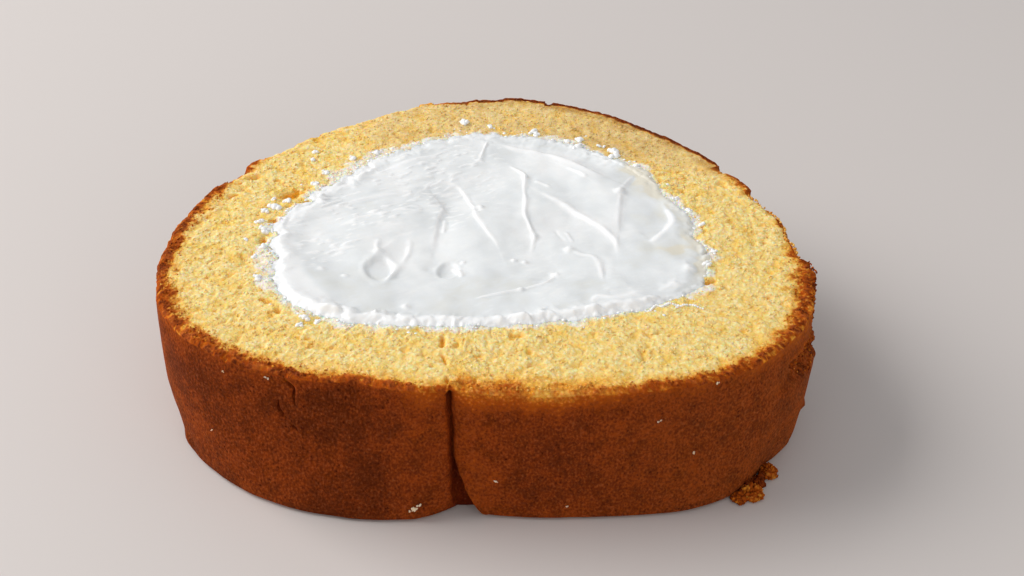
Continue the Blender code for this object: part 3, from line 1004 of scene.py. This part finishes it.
def make_sponge():
    """The sponge: the plain ring drawn out to the roll's outlines, with its crumb and skin."""
    ring = plain_ring()
    x, y, z = points_of(ring)
    turn = np.mod(np.arctan2(y, x), tau)
    share = np.clip((np.hypot(x, y) - RING_INNER) / (RING_OUTER - RING_INNER), 0, 1)
    height = np.clip(z, 0, TOP)
    bearing = np.interp(turn, *ring_bearings())
    top = height > TOP - 0.01
    wall = (share > 0.999) & ~top
    lip = np.clip(0.6 - cream_edge(bearing), 0.4, 4.5)
    hole = HOLE(bearing, height) - lip * ease((height - (TOP - 3.5)) / 3.5)
    rim = wall_radius(bearing, TOP + 0 * bearing)[0]
    foot = wall_radius(bearing, 0 * bearing)[0]
    skin, bare = wall_radius(bearing, height)
    face = hole + share * (rim - hole)
    across = (1 - share) * (rim - hole)
    face_z, hollow_shade = face_height(*place_at(bearing, face), across)
    edge_z = face_height(*place_at(bearing, rim), 0 * across)[0]
    wall_z = height + (edge_z - TOP) * ease((height - (TOP - 2)) / 2)
    base = np.where(share < 0.001, hole, hole + share * (foot - hole))
    x, y = place_at(bearing, np.where(top, face, np.where(wall, skin, base)))
    z = np.where(top, face_z, np.where(wall, wall_z, height))
    front = wall & (y < FRONT)
    crack = cracks(x, z) * front
    y = y + CRACK_DEPTH * crack
    put_points(ring, x, y, z)

    arc = bearing * ARC_RADIUS
    small = fine_grains(x, y)[1]
    number = np.where(wall, wall_grains(arc, height)[1], small)
    # Painted shade in the seam's slit and under its lifted corner; it darkens both the browning and the
    # hollows' shade
    seam_shadow = seam_shade(x, height) * front
    tear, rough = torn(x, y, z, arc)
    crumbly = crumbly_edge(x, y, z, arc)
    bake = np.where(wall, wall_bake(x, y, z, bare, number), 0.06)
    bake = np.where(top, face_bake(x, y, across), bake)
    note(ring, "bake", np.maximum(bake, 0.95 * seam_shadow))
    # Painted shade on the wall: between the grains of bare, torn and crumbly crumb, in the seam, in the
    # cracks and in the torn holes
    dark = (bare + 0.9 * rough + 0.8 * crumbly) * np.clip(0.75 - number, 0, 1) + 0.9 * seam_shadow
    dark = np.clip(np.maximum(np.maximum(dark, 0.9 * crack), 1.3 * tear), 0, 1)
    note(ring, "hollow_shade", np.where(top, hollow_shade, np.where(wall, dark, 0.2)))
    loose = np.clip(bare + 0.5 * rough + 0.7 * crumbly, 0, 1)
    sunny = 0.5 * small + 0.5 * coarse_grains(x, y)[1] + 0.15 * ease((-x - 8) / 20)
    note(ring, "tone", np.where(wall, 0.4 + (number - 0.4) * loose, sunny))
    note(ring, "smear", np.where(top, cream_smear(x, y), 0))
    # A painted sheen on the right-hand wall, laid on with the toast's tan
    painted_sheen = np.where(wall, 0.06 * ease((x - 6) / 30), 0)
    note(ring, "toast_and_sheen", np.where(top, face_toast(x, y, across), painted_sheen))
    smooth(ring)
    return ring


# ---------------------------------------------------------------- cream

GRID = 300
SPREAD = 1.8  # how far the cream's edge reaches over the crumb outside its hole
DRAG_TURN = radians(25)  # the way the palette knife was dragged

# The palette knife's marks: points, crest, half width and, where they aren't 0 and 2, the step up
# on the left side and its reach
MARKS = (
    (((-1.3, 24.4), (-1.9, 21.8), (-2.4, 19.0)), 0.24, 0.24),
    (((-0.3, 24.2), (3.6, 22.8), (7.5, 21.4), (11.3, 19.3), (14.7, 15.9), (17.9, 13.4)),
     0.34, 0.95, -0.4, 4.0),
    (((11.2, 16.8), (13.2, 14.9), (14.5, 13.3)), 0.16, 0.25, 0.2, 2.0),
    (((-9.5, 9.3), (-8.3, 6.9), (-7.5, 4.8), (-8.0, 2.2), (-8.2, -1.2), (-8.4, -3.7), (-8.5, -6.1)),
     0.06, 0.3, -0.36, 2.2),
    (((-7.2, 2.2), (-7.15, 0.1), (-7.2, -1.8)), 0.26, 0.3),
    (((-12.8, 7.6), (-11.1, 9.9), (-9.5, 11.6), (-7.9, 12.6), (-5.7, 11.7), (-4.3, 9.3),
      (-3.5, 6.7), (-2.9, 4.9), (-2.5, 2.3), (-0.9, -1.6), (0.6, -4.5), (1.3, -7.0)),
     0.17, 0.24, 0.22, 3.0),
    (((2.1, 17.9), (2.9, 17.0), (4.2, 15.5), (4.8, 14.1), (4.7, 10.3), (4.9, 7.0), (4.8, 3.4),
      (5.4, 0.4), (6.2, -2.6), (6.0, -4.8), (5.6, -7.7)), 0.3, 0.27, 0.12, 2.5),
    (((6.2, 13.2), (7.4, 12.3), (8.9, 11.1)), 0.18, 0.26),
    (((6.7, 10.4), (9.1, 8.1), (11.5, 5.5), (13.4, 3.3), (15.2, 1.1), (17.0, -1.4), (18.2, -3.9),
      (18.2, -7.2)), 0.24, 0.55, 0.18, 4.0),
    (((22.3, 16.2), (20.0, 10.4), (19.2, 4.8), (18.7, -1.8)), 0.14, 0.4, -0.3, 3.0),
    (((25.6, 9.7), (26.3, 5.5), (26.9, 2.4), (26.1, 0.2), (24.0, -2.9), (23.0, -3.7)),
     0.12, 0.35, 0.42, 2.6),
    (((10.8, -1.2), (11.4, -2.6), (11.9, -4.0)), 0.26, 0.28),
    (((9.2, -0.4), (9.9, -2.3), (10.8, -3.9)), -0.16, 0.35),
    (((11.3, -5.8), (13.1, -7.0), (14.9, -7.8), (15.7, -10.6), (15.9, -14.5)), 0.3, 0.3, 0.0, 2.5),
    (((9.3, -12.0), (8.2, -14.0), (6.1, -15.2), (4.4, -16.0), (0.6, -17.3), (-2.7, -18.5)),
     0.24, 0.24, 0.12, 2.0),
    (((-12.3, -3.4), (-12.0, -4.6), (-12.1, -7.0), (-12.9, -9.8), (-13.8, -12.9), (-14.9, -15.0)),
     0.3, 0.38),
    (((-17.6, -11.1), (-16.8, -8.0), (-15.3, -5.5), (-13.6, -3.4)), 0.07, 0.3),
    (((-16.6, -3.8), (-16.7, -5.6), (-16.4, -7.0)), 0.2, 0.34),
    (((-5.7, -9.5), (-4.3, -11.8), (-4.1, -13.2)), 0.28, 0.32),
    (((16.1, -16.8), (17.9, -16.3), (19.9, -15.8)), -0.12, 0.3, 0.3, 2.0),
    (((14.0, -19.9), (15.0, -18.0), (18.3, -18.2), (21.7, -16.2)), 0.25, 0.5),
    (((-26.5, 2.5), (-20.0, 6.6), (-13.5, 9.0)), 0.08, 0.35, 0.12, 3.0),
    (((-20.0, 12.8), (-14.0, 17.2), (-8.5, 20.0)), 0.1, 0.4, -0.15, 3.0),
    (((-23.0, -1.0), (-19.5, 1.6), (-16.6, 2.6)), 0.1, 0.25, 0.1, 2.0),
)
# The smooth raised lobe along the left-hand edge
LOBE = ((-31.2, -4.8), (-30.6, -8.0), (-29.3, -11.5), (-27.9, -15.0), (-26.2, -18.4), (-24.6, -20.4))
# Hollows in the cream: x, y, length, width, turn in degrees, depth
HOLLOWS = (
    (-14.3, -8.6, 9.5, 3.6, 68, 0.3), (-6.0, -11.1, 3.9, 3.0, 60, 0.34),
    (-8.7, -10.8, 1.8, 1.6, 0, 0.18), (-2.4, 4.4, 1.2, 0.8, 0, 0.22), (23.0, 4.5, 12.0, 5.5, 105, 0.25),
    (-23.6, -21.7, 3.0, 1.6, 25, 0.7), (8.5, -12.0, 5.0, 2.0, 40, 0.16), (3.0, -11.5, 7.0, 3.0, 15, 0.16),
    (-22.0, -8.0, 7.0, 4.0, 100, 0.16),
)
# Craters with a steep rim: x, y, half width, half length, depth
CRATERS = ((-15.8, -11.4, 1.9, 3.0, 0.34), (-6.1, -11.1, 1.5, 2.1, 0.2))
# Blobs on the cream: x, y, radius, height
BLOBS = (
    (-1.9, 5.1, 0.45, 0.32), (-2.4, 18.9, 0.5, 0.3), (4.8, 14.1, 0.4, 0.3), (6.2, -2.6, 0.5, 0.3),
    (19.5, 9.9, 0.6, 0.5), (11.3, -5.8, 0.6, 0.4), (3.3, -8.6, 0.38, 0.3), (4.9, -8.9, 0.38, 0.3),
    (9.3, -12.0, 0.55, 0.35), (4.4, -16.0, 0.4, 0.3), (-16.5, -7.0, 0.6, 0.3), (-21.2, -23.4, 1.2, 0.5),
    (-19.2, -23.0, 1.1, 0.5), (-15.4, -23.6, 0.9, 0.45), (1.6, -23.4, 0.8, 0.45), (7.7, -22.6, 0.9, 0.5),
    (10.9, -21.9, 0.7, 0.4), (26.8, -16.0, 1.9, 0.6), (29.0, -11.3, 1.3, 0.5), (-24.0, -12.0, 0.5, 0.2),
    (-20.5, -13.6, 0.35, 0.25), (-11.5, -20.5, 0.5, 0.3), (-4.0, -9.0, 0.35, 0.25), (-11.0, 23.2, 0.7, 0.4),
)


def knife_mark(x, y, points, crest, half_width, step=0.0, reach=2.0):
    """One mark's height and the painted highlight along its crest: a crest that thins out at its ends, a
    dip beside it and a step across it."""
    away, share = beside_line(x, y, points)
    taper = between(share, 0, 1, 0.18, 0.18)
    uneven = 1 + ripples(x, y, (0.5, 1.8, 43), (0.35, 5.0, 46))
    width = half_width * (0.8 + 0.35 * swells(x, y, 2.4, 47)) * (0.6 + 0.4 * taper)
    ridge = 0.75 * bell(away / width, 1.7) + 0.35 * bell(away / (2.6 * width), 1.0)
    dip = bell((away - 3.2 * width) / (2.4 * width))
    mark = crest * taper * (0.8 * uneven * ridge - 0.2 * dip)
    side = np.tanh(away / 0.3) * bell(away / reach)
    past_ends = (share < 0.01) | (share > 0.99)
    mark = mark + 0.4 * step * side * np.where(past_ends, 0.3, 0.3 + 0.7 * taper)
    # Painted highlight along the crest
    line = np.clip(1.3 * bell(away / (1.2 * width)) * taper * uneven, 0, 1)
    return mark, line * np.clip((crest + abs(step) * 0.5) / 0.24, 0.2, 1)


def knife_relief(x, y):
    """What the palette knife left: the height of its marks, hollows, blobs and drag streaks, and the
    painted highlights on its crests, blobs and dashes."""
    relief = ripples(x, y, (0.62, 11.0, 41), (0.3, 5.0, 42), (0.08, 2.0, 48))
    thick_and_lit = np.zeros_like(x)
    for mark in MARKS:
        height, line = knife_mark(x, y, *mark)
        relief = relief + height
        thick_and_lit = np.maximum(thick_and_lit, line)
    for *oval, depth in HOLLOWS:
        relief = relief - depth * in_oval(x, y, *oval)
    for blob_x, blob_y, radius, tall in BLOBS:
        away = np.hypot(x - blob_x, y - blob_y) * (1 + 0.3 * swells(x, y, 0.8, 49))
        blob = bell(away / radius, 2.2)
        relief = relief + tall * blob
        thick_and_lit = np.maximum(thick_and_lit, blob)
    for dish_x, dish_y, wide, long, deep in CRATERS:
        away = np.hypot((x - dish_x) / wide, (y - dish_y) / long) * (1 + 0.12 * swells(x, y, 1.5, 58))
        relief = relief - deep * ease((1.15 - away) / 0.4) + 0.1 * bell((away - 1.2) / 0.2)
    along = x * cos(DRAG_TURN) + y * sin(DRAG_TURN)
    over = y * cos(DRAG_TURN) - x * sin(DRAG_TURN)
    dragged = ease((over - 0.25 * x - 1) / 10) * ease((4 - x) / 10)
    streaks = 0.05 * swells(along * 0.1, over, 0.5, 44) + 0.06 * swells(along * 0.25, over, 1.1, 45)
    dashes = ease((swells(along * 0.4, over, 0.42, 59) - 0.25) / 0.45) * (0.12 + 0.88 * dragged)
    dashes = dashes * ease(0.6 + swells(x, y, 4.0, 60))
    relief = relief + streaks * (0.3 + 0.7 * dragged) + 0.13 * dashes
    return relief, np.clip(np.maximum(thick_and_lit, dashes), 0, 1)


def froth_lumps(x, y):
    """Height of the lumps of froth that stand along the cream's rim."""
    warped_x = x + 0.7 * swells(x, y, 1.5, 73)
    warped_y = y + 0.7 * swells(x, y, 1.5, 74)
    away, number = grains(warped_x, warped_y, 2.5, 51)
    lumps = 1.1 * number**2 * np.clip(1 - (away / 0.9) ** 2, 0, 1) ** 0.9
    lumps = lumps * (0.25 + 0.75 * ease(0.6 + 0.9 * swells(x, y, 4.5, 75)))
    away, number = grains(x, y, 1.1, 52)
    fine = number**2 * np.clip(1 - (away / 0.75) ** 2, 0, 1)
    return lumps + 0.12 * swells(x, y, 0.9, 76) + 0.12 * fine


def cream_height(x, y, inside, beyond):
    """Height of the cream and how white it is, for its thickness and its painted light and shade, inside
    millimetres in from its visible edge and beyond millimetres outside the filling: it thins out to a film
    that follows the crumb."""
    relief, thick_and_lit = knife_relief(x, y)
    quiet = ease((inside - 0.8) / 2.5)
    front = ease((-16 - y) / 4)
    left = ease((-14 - x) / 8)
    right = ease((x - 17) / 7)
    rim = bell((inside - 1.3) / 1.5)
    lobe = bell(beside_line(x, y, LOBE)[0] / 3.0, 2.2) * ease(inside / 1.6)
    lumps = froth_lumps(x, y) * np.maximum(0.25, np.maximum(front, 0.85 * left))
    level = TOP - 0.35 + 0.25 * rim + 0.4 * front * bell((inside - 1.6) / 1.6)
    level = level + lumps * rim * (1 - 0.6 * lobe)
    body = level + relief * quiet * (1 - 0.8 * lobe) + 0.4 * lobe
    crumb = face_height(x, y, 5.0 + 0 * x)[0]
    film = 0.3 * ease((inside + 0.5) / 1.5) - 0.12 - np.clip(-0.1 - inside, 0, 3) * 0.5
    share = ease((inside - 0.3) / 1.5)
    height = (crumb + film) * (1 - share) + body * share
    height = np.where(beyond > -0.6, np.maximum(height, crumb + film), height)

    # Whiter on the rim, and on the lobe as a painted highlight; the knife marks bring their painted
    # highlights
    edge = rim * (0.45 + 0.5 * np.maximum(front, left) - 0.3 * right * (1 - front))
    # Darker towards the front: painted shade
    plain = 0.4 - 0.12 * ease((-10 - y) / 5) * ease((inside - 2) / 1.5)
    thick_and_lit = np.maximum(np.maximum((plain + 0.6 * thick_and_lit) * quiet, edge), 0.9 * lobe)
    thick_and_lit = thick_and_lit - 0.4 * right * ease((y + 14) / 8) * (0.6 + 0.4 * swells(x, y, 3.0, 64))
    return height, np.clip(thick_and_lit, 0, 1)


def make_cream():
    """The filling: a grid drawn out to the hole's outline, spread over its edge, and closed."""
    deselect_all()
    bpy.ops.mesh.primitive_grid_add(x_subdivisions=GRID, y_subdivisions=GRID, size=2 * MM)
    cream = bpy.context.object
    cream.name = "cream_filling"
    edit()
    bpy.ops.mesh.select_all(action="SELECT")
    bpy.ops.mesh.region_to_loop()
    bpy.ops.mesh.extrude_region_move(TRANSFORM_OT_translate={"value": (0, 0, -0.3 * MM)})
    bpy.ops.mesh.extrude_region_move(TRANSFORM_OT_translate={"value": (0, 0, -0.7 * MM)})
    bpy.ops.mesh.edge_face_add()
    bpy.ops.mesh.select_all(action="SELECT")
    bpy.ops.mesh.normals_make_consistent(inside=False)
    done()
    u, v, w = points_of(cream)
    disc_x = u * np.sqrt(1 - v * v / 2)
    disc_y = v * np.sqrt(1 - u * u / 2)
    share = np.clip(np.hypot(disc_x, disc_y), 0, 1)
    bearing = np.mod(np.arctan2(disc_y, disc_x), tau)
    outline = FILLING(bearing, TOP / 2 + 0 * bearing)
    reach = np.where(w > -0.1, outline + SPREAD, outline - 0.2)
    x, y = place_at(bearing, share * reach)
    inside = (1 - share) * (outline + SPREAD) - SPREAD + cream_edge(bearing)
    z, thick_and_lit = cream_height(x, y, inside, share * reach - outline)
    note(cream, "thick_and_lit", thick_and_lit)
    z = np.where(w < -0.9, 0.0, np.where(w < -0.1, TOP - 3, z))
    put_points(cream, x, y, z)
    smooth(cream)
    return cream


# ---------------------------------------------------------------- crumbs and flecks

GRAINS_ON_FACE = 3600
GRAINS_ON_BAND = 1500
GRAINS_ON_WALL = 400
GRAINS_AT_TEAR = 600
# Pale flecks stuck to the skin: x, y, height, radius
FLECKS = (
    (-9.3, -38.9, 2.2, 0.36), (-8.9, -38.9, 2.5, 0.3), (-8.5, -38.9, 2.9, 0.32), (-9.7, -38.9, 2.1, 0.26),
    (1.5, -39.2, 6.9, 0.17), (11.0, -39.0, 2.5, 0.15), (22.3, -37.4, 16.4, 0.16), (22.6, -37.4, 16.6, 0.15),
    (27.2, -35.9, 10.2, 0.19), (29.9, -35.0, 21.0, 0.2), (-34.5, -32.8, 19.5, 0.17),
    (-28.6, -35.3, 20.6, 0.17), (-28.2, -35.3, 20.5, 0.14), (-36.5, -31.3, 8.6, 0.14),
)
# Each lobe of the clump at the foot of the right-hand end: x, y, radius, height, grains, browning. The two
# lobes browned 0.85 and 0.92 paint the shade under the broken foot above them.
CLUMP = (
    (36.7, -33.6, 1.75, 1.4, 400, 0.42), (34.9, -34.7, 1.2, 0.8, 150, 0.6),
    (39.6, -29.6, 1.3, 1.7, 230, 0.44), (37.9, -31.6, 1.1, 1.2, 150, 0.85),
    (35.9, -32.3, 1.2, 2.2, 130, 0.92),
)
# Dabs of cream on the crumb: x, y, radius
DABS = (
    (-5.5, 30.9, 0.7), (-4.9, 30.9, 0.5), (6.1, 28.0, 0.8), (6.6, 27.2, 0.5), (13.8, 26.0, 0.65),
    (13.4, 23.4, 0.9), (11.6, 25.3, 0.5), (16.8, 24.1, 0.35), (17.6, 24.0, 0.3), (19.1, 22.2, 0.9),
    (19.4, 20.6, 0.8), (22.4, 17.6, 0.5), (28.0, 8.2, 0.45), (29.6, 5.0, 0.5), (31.2, 1.3, 0.5),
    (-27.6, 10.4, 0.6), (-28.9, 20.3, 0.5), (-28.9, 17.9, 0.45), (-33.4, 5.9, 0.45), (-31.3, 5.4, 0.6),
    (-34.3, 2.6, 0.65), (-34.6, -0.6, 0.6), (-33.6, -2.6, 0.75), (-32.9, 3.6, 0.8),
    (-26.4, 13.9, 0.6), (-22.6, 18.3, 0.7), (-19.0, 20.4, 0.6), (-33.9, -9.6, 0.5),
    (-32.6, -14.9, 0.6), (-35.8, -5.5, 0.35), (-33.0, -7.1, 0.55), (-24.8, -24.0, 0.6),
    (-25.3, -25.6, 0.5), (-23.0, -24.6, 0.45), (30.9, -9.5, 0.6), (32.2, -6.0, 0.5), (-1.0, 29.6, 0.5),
)
RIM_DABS = 170
CURL = ((22.2, -20.6), (22.9, -19.6), (23.9, -19.9), (24.7, -19.2), (26.4, -19.5), (27.8, -19.2),
        (29.4, -20.0))


def model_lump(subdivisions, rough, seed):
    """Models one small uneven lump of radius 1 mm and returns its points and triangles."""
    deselect_all()
    bpy.ops.mesh.primitive_ico_sphere_add(subdivisions=subdivisions, radius=MM)
    lump = bpy.context.object
    points = np.stack(points_of(lump), axis=1)
    random = np.random.default_rng(seed)
    points = points * (1 + rough * (random.random((len(points), 1)) - 0.5))
    points = points * (1 + 0.9 * rough * (random.random((1, 3)) - 0.5))
    triangles = np.array([face.vertices[:] for face in lump.data.polygons])
    bpy.data.objects.remove(lump)
    return points, triangles


def random_turns(random, count):
    """Evenly spread random rotations, as matrices."""
    quaternions = random.normal(size=(4, count))
    w, x, y, z = quaternions / np.linalg.norm(quaternions, axis=0)
    rows = (
        (1 - 2 * (y * y + z * z), 2 * (x * y - z * w), 2 * (x * z + y * w)),
        (2 * (x * y + z * w), 1 - 2 * (x * x + z * z), 2 * (y * z - x * w)),
        (2 * (x * z - y * w), 2 * (y * z + x * w), 1 - 2 * (x * x + y * y)),
    )
    return np.array(rows).transpose(2, 0, 1)


def strew(name, lumps, places, sizes, random, notes=None):
    """Copies of the lumps, each turned at random, joined into one mesh. The notes are numbers for each
    copy; sizes may give each copy three radii. Where notes are given, each lump's underside also gets
    painted shade."""
    places = np.asarray(places, float)
    sizes = np.asarray(sizes, float).reshape(len(places), -1)
    turns = random_turns(random, len(places))
    kinds = random.integers(len(lumps), size=len(places))
    all_points, all_triangles, owners, rises = [], [], [], []
    total = 0  # points so far
    for kind, (points, triangles) in enumerate(lumps):
        mine = np.flatnonzero(kinds == kind)
        turned = np.einsum("nij,pj->npi", turns[mine], points) * sizes[mine][:, None, :]
        all_points.append((turned + places[mine][:, None, :]).reshape(-1, 3))
        starts = total + np.arange(len(mine)) * len(points)
        all_triangles.append((triangles[None] + starts[:, None, None]).reshape(-1, 3))
        owners.append(np.repeat(mine, len(points)))
        rises.append((turned[:, :, 2] / sizes[mine][:, -1:]).ravel())
        total += len(mine) * len(points)
    mesh = bpy.data.meshes.new(name)
    mesh.from_pydata((np.vstack(all_points) * MM).tolist(), [], np.vstack(all_triangles).tolist())
    thing = bpy.data.objects.new(name, mesh)
    bpy.context.scene.collection.objects.link(thing)
    owners = np.concatenate(owners)
    for note_name, values in (notes or {}).items():
        note(thing, note_name, np.asarray(values)[owners])
    if notes:
        # Painted shade on the underside of each lump
        note(thing, "hollow_shade", np.clip(0.6 - np.concatenate(rises), 0, 1))
    smooth(thing)
    return thing


def spots_on_face(random, count, nearest, bands=None):
    """Random places on the crumb of the cut face: x, y and the distance inside the skin. They are
    nearest millimetres or more inside it, and if bands is given, within so many band widths."""
    x = random.uniform(SPONGE_LOW.x, SPONGE_HIGH.x, count * 14)
    y = random.uniform(SPONGE_LOW.y, SPONGE_HIGH.y, count * 14)
    bearing = bearing_of(x, y)
    away = np.hypot(x - CENTRE[0], y - CENTRE[1])
    edge = wall_radius(bearing, TOP + 0 * x)[0] - away
    reach = bands * band_width(x, y) if bands else np.inf
    nearest = nearest + 0.9 * back_rim(x, y)
    kept = np.flatnonzero((edge > nearest) & (edge < reach) & (past_cream(x, y) > 0.1))[:count]
    return x[kept], y[kept], edge[kept]


def spots_on_wall(random, count, deepest, wanted):
    """Random places on the wall's upper stretch where the test is wanted: x, y and z."""
    bearing = random.uniform(0, tau, count * 40)
    z = TOP - deepest * random.random(len(bearing))
    radius, bare = wall_radius(bearing, z)
    x, y = place_at(bearing, radius)
    kept = np.flatnonzero(wanted(x, y, z, bare))[:count]
    return x[kept], y[kept], z[kept]


def make_grains():
    """The loose grains of the cut crumb, most of them yellow and the rest from the crust."""
    random = np.random.default_rng(5)
    lumps = [model_lump(1, 0.8, seed) for seed in range(6)]
    places, sizes, bakes = [], [], []

    def scatter(x, y, z, low, high, bake):
        places.append(np.stack([x, y, z], axis=1))
        sizes.append(random.uniform(low, high, len(x)))
        bakes.append(bake)

    x, y, edge = spots_on_face(random, GRAINS_ON_FACE, 0.6)
    z = face_height(x, y, edge)[0] - 0.04
    scatter(x, y, z, 0.09, 0.21, face_bake(x, y, edge) * random.uniform(0.6, 1.1, len(x)))
    x, y, edge = spots_on_face(random, GRAINS_ON_BAND, 0.5, 1.4)
    z = face_height(x, y, edge)[0]
    browned = face_bake(x, y, edge) * 0.65 + random.uniform(0.0, 0.4, len(x))
    scatter(x, y, z - 0.04, 0.09, 0.18, browned * (1 - 0.4 * glow(x, y, TOP)))
    x, y, z = spots_on_wall(
        random, GRAINS_ON_WALL, 4.0, lambda x, y, z, bare: (bare > 0.6) & (y < 10))
    scatter(x, y, z, 0.1, 0.22, random.uniform(0.0, 0.35, len(x)))
    x, y, z = spots_on_wall(
        random, GRAINS_AT_TEAR, 11.0,
        lambda x, y, z, bare: torn(x, y, z, bearing_of(x, y) * ARC_RADIUS)[1] > 0.7)
    scatter(x, y, z, 0.1, 0.2, random.uniform(0.4, 0.95, len(x)))

    place = np.vstack(places)
    notes = {
        "bake": np.clip(np.concatenate(bakes), 0, 1),
        "tone": 0.8 * random.random(len(place)),
        "toast_and_sheen": face_toast(place[:, 0], place[:, 1], 4.0) * (place[:, 2] > TOP - 1.2),
        "smear": cream_smear(place[:, 0], place[:, 1]) * (random.random(len(place)) < 0.8),
    }
    return strew("crumb_grains", lumps, place, np.concatenate(sizes), random, notes)


def make_fallen():
    """Pale flecks stuck to the skin, and the brown clump at the foot of the right-hand end."""
    random = np.random.default_rng(8)
    lumps = [model_lump(1, 0.9, seed) for seed in range(20, 26)]
    rows = []  # x, y, z, radius, bake, tone and smear of each crumb
    for x, y, z, radius in FLECKS:
        bearing = bearing_of(np.array([x]), np.array([y]))
        wall = wall_radius(bearing, np.array([z]))[0]
        spot_x, spot_y = place_at(bearing, wall + 0.3 * radius)
        for _ in range(3):
            rows.append((
                spot_x[0] + random.uniform(-1, 1) * radius, spot_y[0],
                z + random.uniform(-1, 1) * radius * 0.7, radius * random.uniform(0.5, 0.95),
                0.05, 1.0, 0.7,
            ))
    for x, y, radius, tall, count, browning_and_shade in CLUMP:
        for _ in range(count):
            turn = random.uniform(0, tau)
            away = radius * np.sqrt(random.random()) * random.uniform(0.75, 1.0)
            rise = tall * (1 - (away / radius) ** 2) * random.random()
            size = random.uniform(0.14, 0.42)
            bake = np.clip(browning_and_shade + random.uniform(-0.14, 0.2), 0.2, 1)
            rows.append((
                x + away * cos(turn), y + away * sin(turn), max(0.2 + rise, 1.1 * size), size,
                bake, random.random() * 0.7, 0.0,
            ))
    rows = np.array(rows)
    place, sizes = rows[:, :3], rows[:, 3]
    notes = dict(zip(("bake", "tone", "smear"), rows[:, 4:].T))
    fallen = strew("fallen_crumbs", lumps, place, sizes, random, notes)
    x, y, z = points_of(fallen)
    put_points(fallen, x, y, np.maximum(z, 0.02))  # none reaches below the ground
    return fallen


def make_dabs():
    """Dabs, flecks and one thin curl of cream on the crumb round the filling."""
    random = np.random.default_rng(9)
    lumps = [model_lump(2, 0.35, seed) for seed in range(30, 35)]
    place, sizes = [], []

    def dab(x, y, radius, tall=0.85):
        level = face_height(np.array([x]), np.array([y]), np.array([5.0]))[0][0]
        place.append((x, y, level + 0.1 * radius))
        sizes.append((radius, radius * random.uniform(0.6, 1.1), radius * tall))

    for x, y, radius in DABS:
        dab(x, y, radius * 0.75)
        for _ in range(6):
            turn = random.uniform(0, tau)
            away = radius * random.uniform(0.3, 1.0)
            dab(x + away * cos(turn), y + away * sin(turn), radius * random.uniform(0.35, 0.65))
    for _ in range(RIM_DABS):
        bearing = np.array([random.uniform(0, tau)])
        away = FILLING(bearing, TOP / 2 + 0 * bearing) + cream_edge(bearing)
        x, y = place_at(bearing, away + random.exponential(0.6) - 0.4)
        dab(x[0], y[0], random.uniform(0.1, 0.27), 0.5)
    for x, y in curve_through(CURL, 5):
        dab(x, y, random.uniform(0.14, 0.24), 0.8)
    return strew("cream_flecks", lumps, place, sizes, random, {"thick_and_lit": [0.9] * len(place)})


# ---------------------------------------------------------------- stage


def make_floor():
    """A wide pale floor, for the picture only."""
    deselect_all()
    bpy.ops.mesh.primitive_plane_add(size=3)
    floor = bpy.context.object
    floor.name = "floor"
    finish = Finish("pale_floor")
    finish.set(base_color=paint(214, 207, 203), roughness=0.5)
    floor.data.materials.append(finish.material)


def add_light(name, place, size, power, tint, aim=(0, 0, 0.01)):
    data = bpy.data.lights.new(name, "AREA")
    data.shape = "RECTANGLE"
    data.size = size[0]
    data.size_y = size[1]
    data.energy = power
    data.color = tint
    light = bpy.data.objects.new(name, data)
    light.location = place
    light.rotation_euler = (Vector(aim) - Vector(place)).to_track_quat("-Z", "Y").to_euler()
    bpy.context.scene.collection.objects.link(light)


def add_lights():
    """A soft room, a window behind on the left and a weak fill from the front."""
    world = bpy.data.worlds.new("soft_room")
    world.use_nodes = True
    background = world.node_tree.nodes["Background"]
    background.inputs["Color"].default_value = (0.97, 0.98, 1.0, 1.0)
    background.inputs["Strength"].default_value = 0.42
    bpy.context.scene.world = world
    add_light("window", (-0.75, 0.18, 0.58), (0.7, 0.7), 8.9, (1.0, 0.985, 0.97))
    add_light("front_fill", (0.35, -0.9, 0.4), (0.8, 0.5), 1.9, (1.0, 0.97, 0.94))


CAMERA_AIM = (3.1, 14.5, 0.0)
CAMERA_DISTANCE = 236.28
CAMERA_HEIGHT = radians(35.58)  # angle above the horizon
CAMERA_ROLL = radians(1.12)


def add_camera():
    """A camera in front of the slice, looking down at it."""
    data = bpy.data.cameras.new("camera")
    data.lens = 50
    data.sensor_width = 36
    data.clip_start = 0.01
    camera = bpy.data.objects.new("camera", data)
    turn = Matrix.Rotation(pi / 2 - CAMERA_HEIGHT, 4, "X") @ Matrix.Rotation(CAMERA_ROLL, 4, "Z")
    back = Vector((0, -cos(CAMERA_HEIGHT), sin(CAMERA_HEIGHT))) * CAMERA_DISTANCE
    camera.matrix_world = Matrix.Translation((Vector(CAMERA_AIM) + back) * MM) @ turn
    bpy.context.scene.collection.objects.link(camera)
    bpy.context.scene.camera = camera


def main():
    bpy.context.scene.view_settings.view_transform = "Standard"
    sponge = make_sponge()
    hand_over(sponge, sponge_finish("baked_sponge", 0.75), "sponge")
    cream = make_cream()
    hand_over(cream, cream_finish("whipped_cream", 0.4), "cream")
    loose = sponge_finish("loose_crumb", 0.0)
    hand_over(make_grains(), loose)
    hand_over(make_fallen(), loose)
    hand_over(make_dabs(), cream_finish("cream_dabs", 0.0))
    make_floor()
    add_lights()
    add_camera()


main()
deselect_all()
